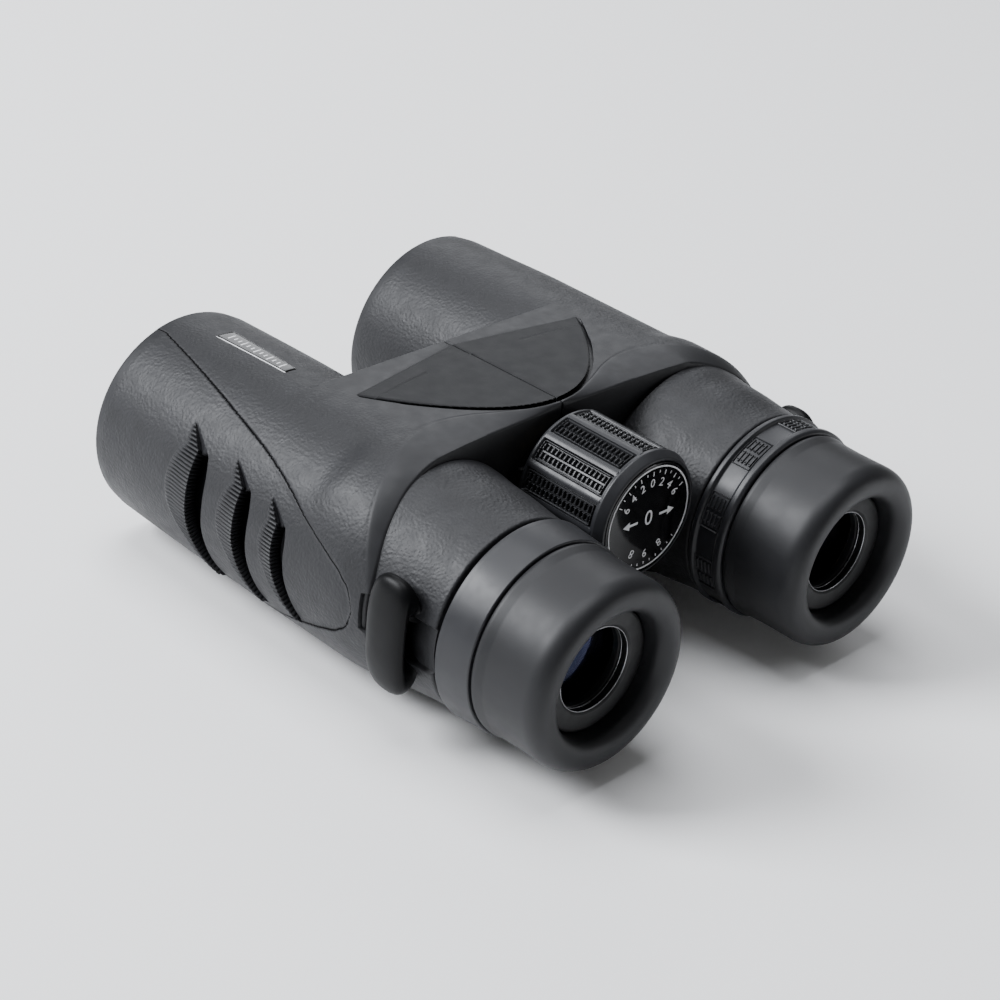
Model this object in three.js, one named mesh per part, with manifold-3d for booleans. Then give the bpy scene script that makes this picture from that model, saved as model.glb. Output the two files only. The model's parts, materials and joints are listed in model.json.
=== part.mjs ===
// Roof-prism binoculars of the 10x42 class, as separate pieces, in millimetres.
// +X points to the right barrel, +Y to the objectives and +Z up. The origin is at the middle
// of the underside. The barrels are at their widest eye distance, eyecups down.
import * as THREE from 'three';
import { mergeVertices } from 'three/addons/utils/BufferGeometryUtils.js';
import Module from 'manifold-3d';

const wasm = await Module();
wasm.setup();

// Driving dimensions
const HALF_EYE_DISTANCE = 38.7;   // optical axis to the middle plane
const BARREL_RADIUS = 26.3;       // outside of the rubber armour
const AXIS_Z = BARREL_RADIUS;     // height of both optical axes, so that the barrels rest on z = 0
const HINGE_RISE = 11.2;          // hinge axis above the optical axes
const HINGE_Z = AXIS_Z + HINGE_RISE;
const HALF_LENGTH = 71;           // eyecup rim and objective rim
const GAP = 0.3;                  // between pieces that touch
const OUTER_SIDES = 28;           // facets round the large shells
const INNER_SIDES = 16;           // facets round small and inner pieces

// Casing and bridge
const CASING_RADIUS = 23.4;
const CASING_BORE = 22.2;
const REAR_CASING_RADIUS = 21.6;
const REAR_CASING_BORE = 20.2;
const CASING_STEP_Y = -22;
const CASING_REAR_Y = -41.2;
const CASING_FRONT_Y = 60;
const BRIDGE_REAR_Y = -15.6;
const BRIDGE_FRONT_Y = 24.6;
const BRIDGE_TOP = AXIS_Z + 26;
const PETAL_TOP = AXIS_Z + 27.2;
const KNUCKLE_RADIUS = 10.4;
const KNUCKLE_CLEARANCE = 0.4;
const AXLE_RADIUS = 7.5;
const KNUCKLES = [                // [side, rear end, front end]
  [-1, BRIDGE_REAR_Y, -9], [1, -8.6, -2], [-1, -1.6, 5.6], [1, 17.6, BRIDGE_FRONT_Y],
];
const ARM_CHAMBER = [5.8, 17.4];  // free stretch of the hinge that the focus arms pass through

// Focusing
const ARM_THICK = 1.5;
const ARM_WIDE = 3;
const ARM_Y = 13;
const ARM_REACH = 4.9;            // arm tip to the hinge axis
const FOCUS_TRAVEL = { back: 5, forward: 1 };
const SPINDLE_RADIUS = 3;
const THRUST_WASHER = { outer: 9, inner: 5.3, rear: -16.9, front: -15.9 };
const WHEEL_RADIUS = 15.3;
const WHEEL_FRONT_Y = -17.2;
const WHEEL_RIM_Y = -39;
const WHEEL_REAR_Y = -42.4;
const WHEEL_BARS = 8;

// Eyepieces
const EYEPIECE_RADIUS = 19.9;
const GUIDE_RADIUS = 16;
const EYECUP_RIM_ROUNDING = 4.8;
const EYECUP_RADIUS = 21.8;
const RING_REAR_Y = { [-1]: -51.9, [1]: -51 };

// Strap lugs
const LUG_RADIUS = 27.8;
const LUG_SLOT_HALF = 7.3;
const LUG_FOOT_HALF = 9.2;
const LUG_REAR_Y = -32.5;
const LUG_FRONT_Y = -24;

// Lenses on each optical axis: [vertex, edge] of the rear and of the front face
const CROWN_LENS = { radius: 20.7, rear: [52.6, 54.6], front: [60, 57.6] };
const FLINT_LENS = { radius: 20.7, rear: [49, 49], front: [52.3, 54.3] };
const FOCUSING_LENS = { radius: 12.5, rear: [17.4, 16.4], front: [19.2, 19.8] };
const FIELD_LENS = { radius: 12.6, rear: [-46.4, -44.8], front: [-41.4, -42.8] };
const EYE_LENS = { radius: 14.4, rear: [-61.1, -59], front: [-56.2, -56.2] };

// Plain rings on each optical axis
const OBJECTIVE_RING = { outer: 20.8, inner: 20, rear: 60.2, front: 63.2 };
const FIELD_CELL = { outer: 14.4, inner: 12.9, rear: -48, front: -40 };
const EYE_LENS_RING = { outer: 14.1, inner: 9.5, rear: -65.8, front: -61.4 };
const EYECUP_GUIDE = { outer: 18.2, inner: 16.3, rear: -64.1, front: -54 };
const HOLDER_RING = { outer: 21.4, inner: 10, rear: -18.6, front: -16.6 };

const SIDE_NAMES = { [-1]: 'left', [1]: 'right' };

function finish(color, roughness, metalness = 0) {
  return () => new THREE.MeshStandardMaterial({ color, roughness, metalness });
}
const FINISHES = {
  armour: finish(0x2b2c2f, 0.72),
  satin: finish(0x303134, 0.5),
  plastic: finish(0x26272a, 0.6),
  casing: finish(0x222326, 0.55),
  gloss: finish(0x0a0a0b, 0.12),
  softRubber: finish(0x27282b, 0.8),
  glass: finish(0xb9c6d8, 0.03),
  steel: finish(0x9a9da0, 0.3, 1),
  brass: finish(0xb08d4c, 0.3, 1),
  aluminium: finish(0x1c1d1f, 0.4, 1),
};

// A closed geometry as a manifold-3d solid, with its faces turned outwards.
function solid(geometry) {
  geometry.deleteAttribute('normal');
  geometry.deleteAttribute('uv');
  const merged = mergeVertices(geometry);
  const position = merged.getAttribute('position');
  const index = merged.getIndex().array;
  const [a, b, c] = [new THREE.Vector3(), new THREE.Vector3(), new THREE.Vector3()];
  const triangles = [];
  let volume = 0;
  for (let i = 0; i < index.length; i += 3) {
    const corners = [index[i], index[i + 1], index[i + 2]];
    if (new Set(corners).size < 3) continue;
    triangles.push(corners);
    [a, b, c].forEach((v, k) => v.fromBufferAttribute(position, corners[k]));
    volume += a.dot(b.cross(c));
  }
  if (volume < 0) triangles.forEach((corners) => corners.reverse());
  return new wasm.Manifold(new wasm.Mesh({
    numProp: 3,
    vertProperties: new Float32Array(position.array),
    triVerts: new Uint32Array(triangles.flat()),
  }));
}

// A closed profile of [radius across flats, y] turned about the Y axis, a facet facing down.
function turned(profile, sides = INNER_SIDES) {
  const corner = 1 / Math.cos(Math.PI / sides);
  const closed = profile[0][0] === 0 ? profile : [...profile, profile[0]];
  const points = closed.map(([radius, y]) => new THREE.Vector2(radius * corner, y));
  return new THREE.LatheGeometry(points, sides, Math.PI / sides);
}

// A ring between two radii and two places along Y.
function ring({ outer, inner, rear, front }, sides = INNER_SIDES) {
  return turned([[outer, front], [outer, rear], [inner, rear], [inner, front]], sides);
}

// A cylinder along Y.
function rod(radius, rear, front, sides = INNER_SIDES) {
  return turned([[0, rear], [radius, rear], [radius, front], [0, front]], sides);
}

// An outline of [x, z] points carried along Y from rear to front.
function alongY(outline, rear, front) {
  const shape = new THREE.Shape(outline.map(([x, z]) => new THREE.Vector2(x, z)));
  const geometry = new THREE.ExtrudeGeometry(shape, { depth: front - rear, bevelEnabled: false });
  return geometry.rotateX(Math.PI / 2).translate(0, front, 0);
}

// A box between two corners.
function block([x0, y0, z0], [x1, y1, z1]) {
  const box = new THREE.BoxGeometry(Math.abs(x1 - x0), Math.abs(y1 - y0), Math.abs(z1 - z0));
  return box.translate((x0 + x1) / 2, (y0 + y1) / 2, (z0 + z1) / 2);
}

function onBarrel(geometry, side) {
  return geometry.translate(side * HALF_EYE_DISTANCE, 0, AXIS_Z);
}

function onHinge(geometry) {
  return geometry.translate(0, 0, HINGE_Z);
}

// The bridge wing of one casing, cut to the middle plane, grown by a margin.
function wingOutline(side, margin = 0) {
  const inner = margin > 0 ? -margin : GAP;
  const top = BRIDGE_TOP + margin;
  const outer = 33 + margin;
  return [
    [inner, top], [outer, top], [outer, AXIS_Z + 22], [20, AXIS_Z + 14], [20, AXIS_Z],
    [16.2, AXIS_Z - 6 - margin], [8 - margin, AXIS_Z + 1 - margin], [inner, HINGE_Z],
  ].map(([x, z]) => [side * x, z]);
}

// A plate from the hinge axis out to the barrel, for the focus arm and for the slot it moves in.
function armPlate(side, from, to, wide, rear, front) {
  const angle = Math.atan2(HINGE_RISE, HALF_EYE_DISTANCE);
  const plate = block([side * from, rear, -wide / 2], [side * to, front, wide / 2]);
  return onHinge(plate.rotateY(side * angle));
}

function casing(side) {
  const tube = turned([
    [CASING_RADIUS, CASING_FRONT_Y], [CASING_RADIUS, CASING_STEP_Y],
    [REAR_CASING_RADIUS, CASING_STEP_Y], [REAR_CASING_RADIUS, CASING_REAR_Y],
    [REAR_CASING_BORE, CASING_REAR_Y], [REAR_CASING_BORE, -20],
    [CASING_BORE, -20], [CASING_BORE, CASING_FRONT_Y],
  ], OUTER_SIDES);
  const clearance = KNUCKLE_RADIUS + KNUCKLE_CLEARANCE;
  let wing = solid(alongY(wingOutline(side), BRIDGE_REAR_Y, BRIDGE_FRONT_Y));
  for (const [owner, rear, front] of [...KNUCKLES, [0, ...ARM_CHAMBER]]) {
    if (owner === side) continue;
    const free = onHinge(rod(clearance, rear - KNUCKLE_CLEARANCE, front + KNUCKLE_CLEARANCE));
    wing = wing.subtract(solid(free));
  }
  for (const [owner, rear, front] of KNUCKLES) {
    if (owner === side) wing = wing.add(solid(onHinge(rod(KNUCKLE_RADIUS, rear, front))));
  }
  const slotRear = ARM_Y - FOCUS_TRAVEL.back - GAP;
  const slotFront = ARM_Y + ARM_THICK + FOCUS_TRAVEL.forward + GAP;
  const slot = armPlate(side, 9, 19.5, ARM_WIDE + 2 * GAP, slotRear, slotFront);
  const bore = onBarrel(rod(CASING_BORE, -19.9, CASING_FRONT_Y, OUTER_SIDES), side);
  const axleBore = onHinge(rod(AXLE_RADIUS + GAP, BRIDGE_REAR_Y - 1, BRIDGE_FRONT_Y + 1));
  return wing.subtract(solid(bore)).add(solid(onBarrel(tube, side)))
    .subtract(solid(axleBore)).subtract(solid(slot));
}

function armour(side) {
  const sleeve = turned([
    [24.4, -21.9], [BARREL_RADIUS, -15], [BARREL_RADIUS, 40], [25.8, 58], [25.7, 67.5],
    [24.9, 70.2], [23.8, HALF_LENGTH], [22.6, HALF_LENGTH], [22.2, 69.5],
    [22.2, CASING_FRONT_Y + GAP], [CASING_RADIUS + GAP, CASING_FRONT_Y + GAP],
    [CASING_RADIUS + GAP, -21.9],
  ], OUTER_SIDES);
  const wing = alongY(wingOutline(side, GAP), BRIDGE_REAR_Y - GAP, BRIDGE_FRONT_Y + GAP);
  const wheelRoom = onHinge(rod(WHEEL_RADIUS + 2 * GAP, WHEEL_REAR_Y, BRIDGE_REAR_Y));
  let body = solid(onBarrel(sleeve, side)).subtract(solid(wing)).subtract(solid(wheelRoom));
  if (side < 0) body = body.subtract(solid(labelBlock(GAP, 24.9, 30)));
  return body;
}

// The label's outline as a block between two heights above the optical axis.
function labelBlock(margin, low, high) {
  const [x, y] = [-38, 45];
  const [halfWide, halfLong] = [2.3 + margin, 12 + margin];
  const [bottom, top] = [AXIS_Z + low, AXIS_Z + high];
  return block([x - halfWide, y - halfLong, bottom], [x + halfWide, y + halfLong, top]);
}

function rearArmour(side) {
  const sleeve = turned([
    [24.2, -22.3], [24.1, -30], [23.3, -39.6], [22.8, CASING_REAR_Y],
    [REAR_CASING_RADIUS + GAP, CASING_REAR_Y], [REAR_CASING_RADIUS + GAP, -22.3],
  ], OUTER_SIDES);
  const [half, deep] = [LUG_FOOT_HALF + GAP, side * 15];
  const channel = block([deep, -42, -half], [side * 30, -23.2, half]);
  return solid(onBarrel(sleeve, side)).subtract(solid(onBarrel(channel, side)));
}

// The ear of the strap lug: an arch over the slot, on two feet that stand on the casing.
function strapLug(side) {
  const arch = [];
  for (let degrees = -32; degrees <= 32; degrees += 8) {
    const angle = THREE.MathUtils.degToRad(degrees);
    const fall = Math.max(0, (Math.abs(degrees) - 8) / 24);
    const radius = LUG_RADIUS - 2.9 * fall * fall;
    arch.push([radius * Math.cos(angle), radius * Math.sin(angle)]);
  }
  const under = 24.55;
  const tail = [32, 27].map((degrees) => {
    const angle = THREE.MathUtils.degToRad(degrees);
    return [under * Math.cos(angle), under * Math.sin(angle)];
  });
  const waist = Math.sqrt(under ** 2 - LUG_FOOT_HALF ** 2);
  const foot = [[waist, LUG_FOOT_HALF], [20.7, LUG_FOOT_HALF], [20.9, LUG_SLOT_HALF]];
  const slot = [[LUG_RADIUS - 1.6, LUG_SLOT_HALF]];
  const upper = [...tail, ...foot, ...slot];
  const lower = upper.map(([u, v]) => [u, -v]).reverse();
  const outline = [...arch, ...upper, ...lower].map(([u, v]) => [side * u, v]);
  return onBarrel(alongY(outline, LUG_REAR_Y, LUG_FRONT_Y), side);
}

// The petal-shaped cover on one half of the bridge, up to the seam in the middle plane.
function petalCover(side) {
  const shape = new THREE.Shape();
  shape.moveTo(side * GAP, -12.8);
  shape.lineTo(side * GAP, BRIDGE_FRONT_Y);
  shape.lineTo(side * 33, BRIDGE_FRONT_Y);
  shape.lineTo(side * 33, 14.5);
  shape.quadraticCurveTo(side * 23, -5, side * GAP, -12.8);
  const depth = PETAL_TOP - BRIDGE_TOP - GAP;
  const plate = new THREE.ExtrudeGeometry(shape, { depth, bevelEnabled: false, curveSegments: 8 });
  return plate.translate(0, 0, BRIDGE_TOP + GAP);
}

// A lens between two faces: each face is [y at the middle, y at the edge].
function lens({ radius, rear, front }) {
  const arc = ([middle, edge]) => [0, 0.5, 1].map((t) => [t * radius, middle + (edge - middle) * t * t]);
  return turned([...arc(rear), ...arc(front).reverse()]);
}

function focusingCell(side) {
  const body = turned([
    [15, ARM_Y + 9], [15, ARM_Y], [11.6, ARM_Y], [11.6, ARM_Y + 1.2],
    [12.8, ARM_Y + 1.2], [12.8, ARM_Y + 9],
  ]);
  const toCell = Math.hypot(HINGE_RISE, HALF_EYE_DISTANCE) - 13.6;
  const arm = armPlate(side, ARM_REACH, toCell, ARM_WIDE, ARM_Y, ARM_Y + ARM_THICK);
  return solid(onBarrel(body, side)).add(solid(arm));
}

// The prism holder: a ring across the casing with two cheeks beside the prisms.
function prismHolder(side) {
  let holder = solid(ring(HOLDER_RING));
  for (const cheek of [-1, 1]) {
    holder = holder.add(solid(block([cheek * 12, -17, -10], [cheek * 13.4, 6.5, 10])));
  }
  return holder.translate([side * HALF_EYE_DISTANCE, 0, AXIS_Z]);
}

// A prism: an outline of [y, z] points carried across the barrel.
function prism(outline, side) {
  const shape = new THREE.Shape(outline.map(([y, z]) => new THREE.Vector2(y, z)));
  const glass = new THREE.ExtrudeGeometry(shape, { depth: 22, bevelEnabled: false });
  return onBarrel(glass.translate(0, 0, -11).rotateY(Math.PI / 2).rotateX(Math.PI / 2), side);
}
const HALF_PENTA_OUTLINE = [[6.8, -9.5], [6.8, 9.5], [-3.5, 13.8], [-7.8, 5.1]];
const ROOF_OUTLINE = [[5, -10.7], [-11.3, 5.6], [-14, 3], [-14, -10.7]];

function objectiveCell() {
  return turned([
    [21.9, 63.5], [21.9, 46], [19.8, 46], [19.8, 47.2], [21.3, 47.2], [21.3, 63.5],
  ], OUTER_SIDES);
}

function eyepieceBarrel() {
  return turned([
    [EYEPIECE_RADIUS, -30], [EYEPIECE_RADIUS, -50.7], [GUIDE_RADIUS, -50.7],
    [GUIDE_RADIUS, -63.9],
    [14.8, -63.9], [14.8, -30],
  ], OUTER_SIDES);
}

function trimRing() {
  return turned([
    [21.6, -41.7], [21.6, -42.5], [23.3, -42.8], [22.6, RING_REAR_Y[-1]],
    [EYEPIECE_RADIUS + GAP, RING_REAR_Y[-1]], [EYEPIECE_RADIUS + GAP, -41.7],
  ], OUTER_SIDES);
}

function diopterRing() {
  return turned([
    [22.6, -41.7], [23.4, -42], [23.4, -43.3], [22.6, -43.6], [22.6, -48.7], [23.1, -49],
    [23.1, -50.5], [22.4, RING_REAR_Y[1]],
    [EYEPIECE_RADIUS + GAP, RING_REAR_Y[1]], [EYEPIECE_RADIUS + GAP, -41.7],
  ], OUTER_SIDES);
}

function eyecup(side) {
  const front = RING_REAR_Y[side] - GAP;
  const rim = [];
  for (let degrees = 0; degrees <= 90; degrees += 30) {
    const angle = THREE.MathUtils.degToRad(degrees);
    rim.push([
      EYECUP_RADIUS - EYECUP_RIM_ROUNDING * (1 - Math.cos(angle)),
      EYECUP_RIM_ROUNDING * (1 - Math.sin(angle)) - HALF_LENGTH,
    ]);
  }
  return turned([
    [22.3, front], [21.9, front - 4], ...rim, [15.4, -70], [14.5, -67.5], [14.5, -65.6],
    [14.5, -64.4], [18.5, -64.4], [18.5, front],
  ], OUTER_SIDES);
}

// The focus wheel: raised bars round a drum, and a plain rim that holds the end cap.
function focusWheel() {
  const outline = [];
  const step = (2 * Math.PI) / WHEEL_BARS;
  for (let bar = 0; bar < WHEEL_BARS; bar += 1) {
    for (const [part, radius] of [[0, 15.3], [0.3, 15.3], [0.34, 14.6], [0.65, 14.6], [0.96, 14.6]]) {
      const angle = (bar + part) * step;
      outline.push([radius * Math.cos(angle), radius * Math.sin(angle)]);
    }
  }
  const drum = alongY(outline, WHEEL_RIM_Y - 0.4, WHEEL_FRONT_Y);
  const rim = turned([
    [0, WHEEL_RIM_Y], [WHEEL_RADIUS, WHEEL_RIM_Y], [WHEEL_RADIUS, -40.8], [14.7, -41.9],
    [13.8, WHEEL_REAR_Y], [0, WHEEL_REAR_Y],
  ], OUTER_SIDES);
  const bore = rod(5.3, WHEEL_REAR_Y - 1, WHEEL_FRONT_Y + 1);
  const seat = rod(13.5, WHEEL_REAR_Y - 1, -41.2, OUTER_SIDES);
  return solid(drum).add(solid(rim)).subtract(solid(bore)).subtract(solid(seat))
    .translate([0, 0, HINGE_Z]);
}

// The hollow axle: a tube through the knuckles, with windows for the two focus arms, and a
// narrow neck behind that the focus wheel turns on.
function hingeAxle() {
  const tube = turned([
    [5, -38], [5, BRIDGE_REAR_Y], [AXLE_RADIUS, BRIDGE_REAR_Y], [AXLE_RADIUS, BRIDGE_FRONT_Y],
    [6.2, BRIDGE_FRONT_Y], [6.2, 3.5], [SPINDLE_RADIUS + GAP, 3.5], [SPINDLE_RADIUS + GAP, -38],
  ]);
  const [rear, front] = [ARM_Y - FOCUS_TRAVEL.back - 2 * GAP, ARM_Y + ARM_THICK + 5 * GAP];
  const sweep = [[5.4, 1.2], [9, 1.2], [9, -9], [-1.8, -9], [-1.8, -5.4]];
  const rightWindow = onHinge(alongY(sweep, rear, front));
  const leftWindow = armPlate(-1, 4.5, 9, ARM_WIDE + 3 * GAP, rear, front);
  return solid(onHinge(tube)).subtract(solid(rightWindow)).subtract(solid(leftWindow));
}

function frontCap() {
  return turned([
    [0, 20], [5.9, 20], [5.9, 24.9], [9.5, 24.9], [9.5, 27.2], [8.8, 27.9], [0, 27.9],
  ]);
}

function focusSpindle() {
  return turned([
    [0, -41], [4.6, -41], [4.6, -38.4], [SPINDLE_RADIUS, -38.4], [SPINDLE_RADIUS, 19.4], [0, 19.4],
  ]);
}

function focusShuttle() {
  const [bore, groove] = [SPINDLE_RADIUS + GAP, 4.4];
  return turned([
    [5.8, 18.2], [5.8, ARM_Y + ARM_THICK + GAP], [groove, ARM_Y + ARM_THICK + GAP],
    [groove, ARM_Y - GAP], [5.8, ARM_Y - GAP], [5.8, 9.2], [bore, 9.2], [bore, 18.2],
  ]);
}

// Assembly
const binoculars = new THREE.Group();

// Adds a solid to the model as a mesh of its own.
function addPiece(name, shape, finishName) {
  const { vertProperties, triVerts } = shape.getMesh();
  const geometry = new THREE.BufferGeometry();
  geometry.setAttribute('position', new THREE.BufferAttribute(vertProperties, 3));
  geometry.setIndex(new THREE.BufferAttribute(triVerts, 1));
  const mesh = new THREE.Mesh(geometry, FINISHES[finishName]());
  mesh.name = name;
  binoculars.add(mesh);
}

function addBarrel(side) {
  const label = SIDE_NAMES[side];
  const add = (name, shape, finishName) => addPiece(`${label}_${name}`, shape, finishName);
  const addRound = (name, shape, finishName) => add(name, solid(onBarrel(shape, side)), finishName);
  add('casing', casing(side), 'casing');
  add('armour', armour(side), 'armour');
  add('rear_armour', rearArmour(side), 'armour');
  add('strap_lug', solid(strapLug(side)), 'plastic');
  add('petal_cover', solid(petalCover(side)), 'satin');
  addRound('objective_cell', objectiveCell(), 'aluminium');
  addRound('objective_crown_lens', lens(CROWN_LENS), 'glass');
  addRound('objective_flint_lens', lens(FLINT_LENS), 'glass');
  addRound('objective_retaining_ring', ring(OBJECTIVE_RING), 'aluminium');
  add('focusing_cell', focusingCell(side), 'aluminium');
  addRound('focusing_lens', lens(FOCUSING_LENS), 'glass');
  add('prism_holder', prismHolder(side), 'plastic');
  add('half_penta_prism', solid(prism(HALF_PENTA_OUTLINE, side)), 'glass');
  add('roof_prism', solid(prism(ROOF_OUTLINE, side)), 'glass');
  addRound('eyepiece_barrel', eyepieceBarrel(), 'plastic');
  addRound('field_lens_cell', ring(FIELD_CELL), 'aluminium');
  addRound('field_lens', lens(FIELD_LENS), 'glass');
  addRound('eye_lens', lens(EYE_LENS), 'glass');
  addRound('eye_lens_retaining_ring', ring(EYE_LENS_RING), 'plastic');
  addRound('eyecup_guide', ring(EYECUP_GUIDE, OUTER_SIDES), 'plastic');
  addRound('eyecup', eyecup(side), 'softRubber');
}

addBarrel(-1);
addBarrel(1);
addPiece('left_trim_ring', solid(onBarrel(trimRing(), -1)), 'satin');
addPiece('right_diopter_ring', solid(onBarrel(diopterRing(), 1)), 'satin');
addPiece('label_plate', solid(labelBlock(0, 25.2, 25.7)), 'gloss');
addPiece('hinge_axle', hingeAxle(), 'steel');
addPiece('hinge_front_cap', solid(onHinge(frontCap())), 'plastic');
addPiece('thrust_washer', solid(onHinge(ring(THRUST_WASHER))), 'brass');
addPiece('focus_wheel', focusWheel(), 'satin');
addPiece('focus_wheel_cap', solid(onHinge(rod(13.2, -42.3, -41.5, OUTER_SIDES))), 'gloss');
addPiece('focus_spindle', solid(onHinge(focusSpindle())), 'steel');
addPiece('focus_shuttle', solid(onHinge(focusShuttle())), 'brass');

export default binoculars;
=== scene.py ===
# %% [markdown]
# # Roof-prism binoculars in rubber armour
# The imported CAD model gives every place and size: the optical axes, the hinge axis and the box of each
# part. This lesson makes the finished surfaces over it, piece by piece, and keeps each piece on an empty for
# the body that carries it: a barrel, the focus wheel, the diopter ring, an eyecup or its guide.

# %% Load the frame
import bmesh
import bpy
import json
import math
import numpy as np
from mathutils import Matrix, Vector


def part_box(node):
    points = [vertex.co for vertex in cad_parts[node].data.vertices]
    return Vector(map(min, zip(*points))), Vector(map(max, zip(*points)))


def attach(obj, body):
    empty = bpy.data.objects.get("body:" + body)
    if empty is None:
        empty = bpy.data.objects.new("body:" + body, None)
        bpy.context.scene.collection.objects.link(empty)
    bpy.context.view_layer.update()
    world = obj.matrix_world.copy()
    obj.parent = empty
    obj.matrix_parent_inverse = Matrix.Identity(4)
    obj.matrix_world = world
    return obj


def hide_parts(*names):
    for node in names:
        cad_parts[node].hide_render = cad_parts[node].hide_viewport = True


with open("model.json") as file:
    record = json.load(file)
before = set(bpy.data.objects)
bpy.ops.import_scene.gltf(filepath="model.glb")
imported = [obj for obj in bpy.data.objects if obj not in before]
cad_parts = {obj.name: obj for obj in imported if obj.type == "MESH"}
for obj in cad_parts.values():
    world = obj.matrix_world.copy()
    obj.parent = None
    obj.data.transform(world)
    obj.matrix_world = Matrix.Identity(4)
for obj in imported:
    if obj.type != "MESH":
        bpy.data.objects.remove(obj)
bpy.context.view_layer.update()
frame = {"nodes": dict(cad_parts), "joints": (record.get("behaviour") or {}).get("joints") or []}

# %% [markdown]
# ## Places from the frame
# Everything below is in millimetres until it goes into a mesh. The optical axes come from the
# boxes of the eyecups, the hinge axis from its joint, and the lengths from the parts' boxes.
# Most shapes are drawn round one optical axis in three numbers: y along the barrel, the angle
# phi from the hinge side (0 degrees) over the top (90) to the outer side (180), and the radius.

# %% Places from the frame
MM = 1000.0
SIDES = {"left": -1, "right": 1}


def box_mm(node):
    """The lowest and highest corner of a CAD node, in millimetres."""
    low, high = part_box(node)
    return np.array(low) * MM, np.array(high) * MM


EYECUP_LOW, EYECUP_HIGH = box_mm("right_eyecup")
AXIS_X = (EYECUP_LOW[0] + EYECUP_HIGH[0]) / 2
AXIS_Z = (EYECUP_LOW[2] + EYECUP_HIGH[2]) / 2
HINGE = next(j for j in frame["joints"] if j["name"] == "interpupillary_hinge")
HINGE_Z = HINGE["pos_m"][2] * MM
HINGE_RISE = HINGE_Z - AXIS_Z
ARMOUR_LOW, ARMOUR_HIGH = box_mm("left_armour")
BARREL_R = (ARMOUR_HIGH[2] - ARMOUR_LOW[2]) / 2
REAR_Y = EYECUP_LOW[1]
BRIDGE_FRONT_Y = box_mm("left_petal_cover")[1][1] + 0.15
BRIDGE_REAR_Y = box_mm("thrust_washer")[1][1] + 0.15
WHEEL_LOW, WHEEL_HIGH = box_mm("focus_wheel")
WHEEL_R = (WHEEL_HIGH[0] - WHEEL_LOW[0]) / 2
print("optical axes", round(AXIS_X, 2), round(AXIS_Z, 2), "barrel radius", round(BARREL_R, 2))

# %% [markdown]
# ## Camera, floor and light
# A plain pale floor and soft light show dark rubber best. A broad panel high in front on the
# left draws the long highlights along the barrels, a weak one fills from the right, and a large
# one overhead lights the bridge. A very small panel low behind puts a glint in the eye lenses.
# The light could come from a sky picture, but a few panels are easier to steer. The camera
# stands behind the left eyepiece and looks down along the barrels.

# %% Camera, floor and light
CAMERA_AZIMUTH, CAMERA_ELEVATION, CAMERA_ROLL = -46.38, 29.69, 5.19
CAMERA_DISTANCE = 535.6
CAMERA_TARGET = Vector((-20.0, -16.9, 36.9)) / MM
LENS_MM, SENSOR_MM = 88.84, 36.0


def camera_axes(azimuth, elevation, roll):
    """The camera's right, up and backward directions: azimuth and elevation turn it round the
    vertical and the horizontal, and roll turns right and up about the line of sight."""
    az, el, ro = (math.radians(v) for v in (azimuth, elevation, roll))
    back = Vector((math.sin(az) * math.cos(el), -math.cos(az) * math.cos(el), math.sin(el)))
    right = Vector((math.cos(az), math.sin(az), 0))
    up = back.cross(right)
    return (right * math.cos(ro) + up * math.sin(ro),
            up * math.cos(ro) - right * math.sin(ro), back)


def add_camera():
    right, up, back = camera_axes(CAMERA_AZIMUTH, CAMERA_ELEVATION, CAMERA_ROLL)
    data = bpy.data.cameras.new("camera")
    data.lens, data.sensor_width = LENS_MM, SENSOR_MM
    camera = bpy.data.objects.new("camera", data)
    turn = Matrix((right, up, back)).transposed().to_4x4()
    place = CAMERA_TARGET + back * (CAMERA_DISTANCE / MM)
    camera.matrix_world = Matrix.Translation(place) @ turn
    bpy.context.scene.collection.objects.link(camera)
    bpy.context.scene.camera = camera


def add_panel(name, place, target, size, power):
    """A square area light that faces its target."""
    data = bpy.data.lights.new(name, "AREA")
    data.shape, data.size, data.energy, data.color = "SQUARE", size, power, (0.94, 0.96, 1.0)
    light = bpy.data.objects.new(name, data)
    aim = (Vector(target) - Vector(place)).to_track_quat("-Z", "Y")
    light.matrix_world = Matrix.Translation(place) @ aim.to_matrix().to_4x4()
    bpy.context.scene.collection.objects.link(light)


FLOOR_HALF = 3.0


def add_floor():
    half = FLOOR_HALF
    mesh = bpy.data.meshes.new("floor")
    mesh.from_pydata([(-half, -half, 0), (half, -half, 0), (half, half, 0), (-half, half, 0)],
                     [], [(0, 1, 2, 3)])
    floor = bpy.data.objects.new("floor", mesh)
    bpy.context.scene.collection.objects.link(floor)
    paper = bpy.data.materials.new("floor_paper")
    paper.use_nodes = True
    shader = paper.node_tree.nodes["Principled BSDF"]
    shader.inputs["Base Color"].default_value = (0.95, 0.95, 0.95, 1)
    shader.inputs["Roughness"].default_value = 0.9
    mesh.materials.append(paper)


add_camera()
add_floor()
add_panel("key_panel", (-0.95, 0.85, 1.05), (0, 0, 0.03), 0.7, 47)
add_panel("deck_panel", (1.0, 1.1, 0.85), (0, 0, 0.03), 0.8, 7)
add_panel("top_panel", (0.0, 0.35, 1.8), (0, 0, 0.03), 1.2, 29)
add_panel("window_panel", (0.75, -0.95, 0.18), (0, 0, 0.03), 0.22, 1.2)
world = bpy.context.scene.world or bpy.data.worlds.new("world")
bpy.context.scene.world = world
world.use_nodes = True
world.node_tree.nodes["Background"].inputs["Color"].default_value = (1, 1, 1, 1)
world.node_tree.nodes["Background"].inputs["Strength"].default_value = 0.19
print("camera and light ready")
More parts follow.
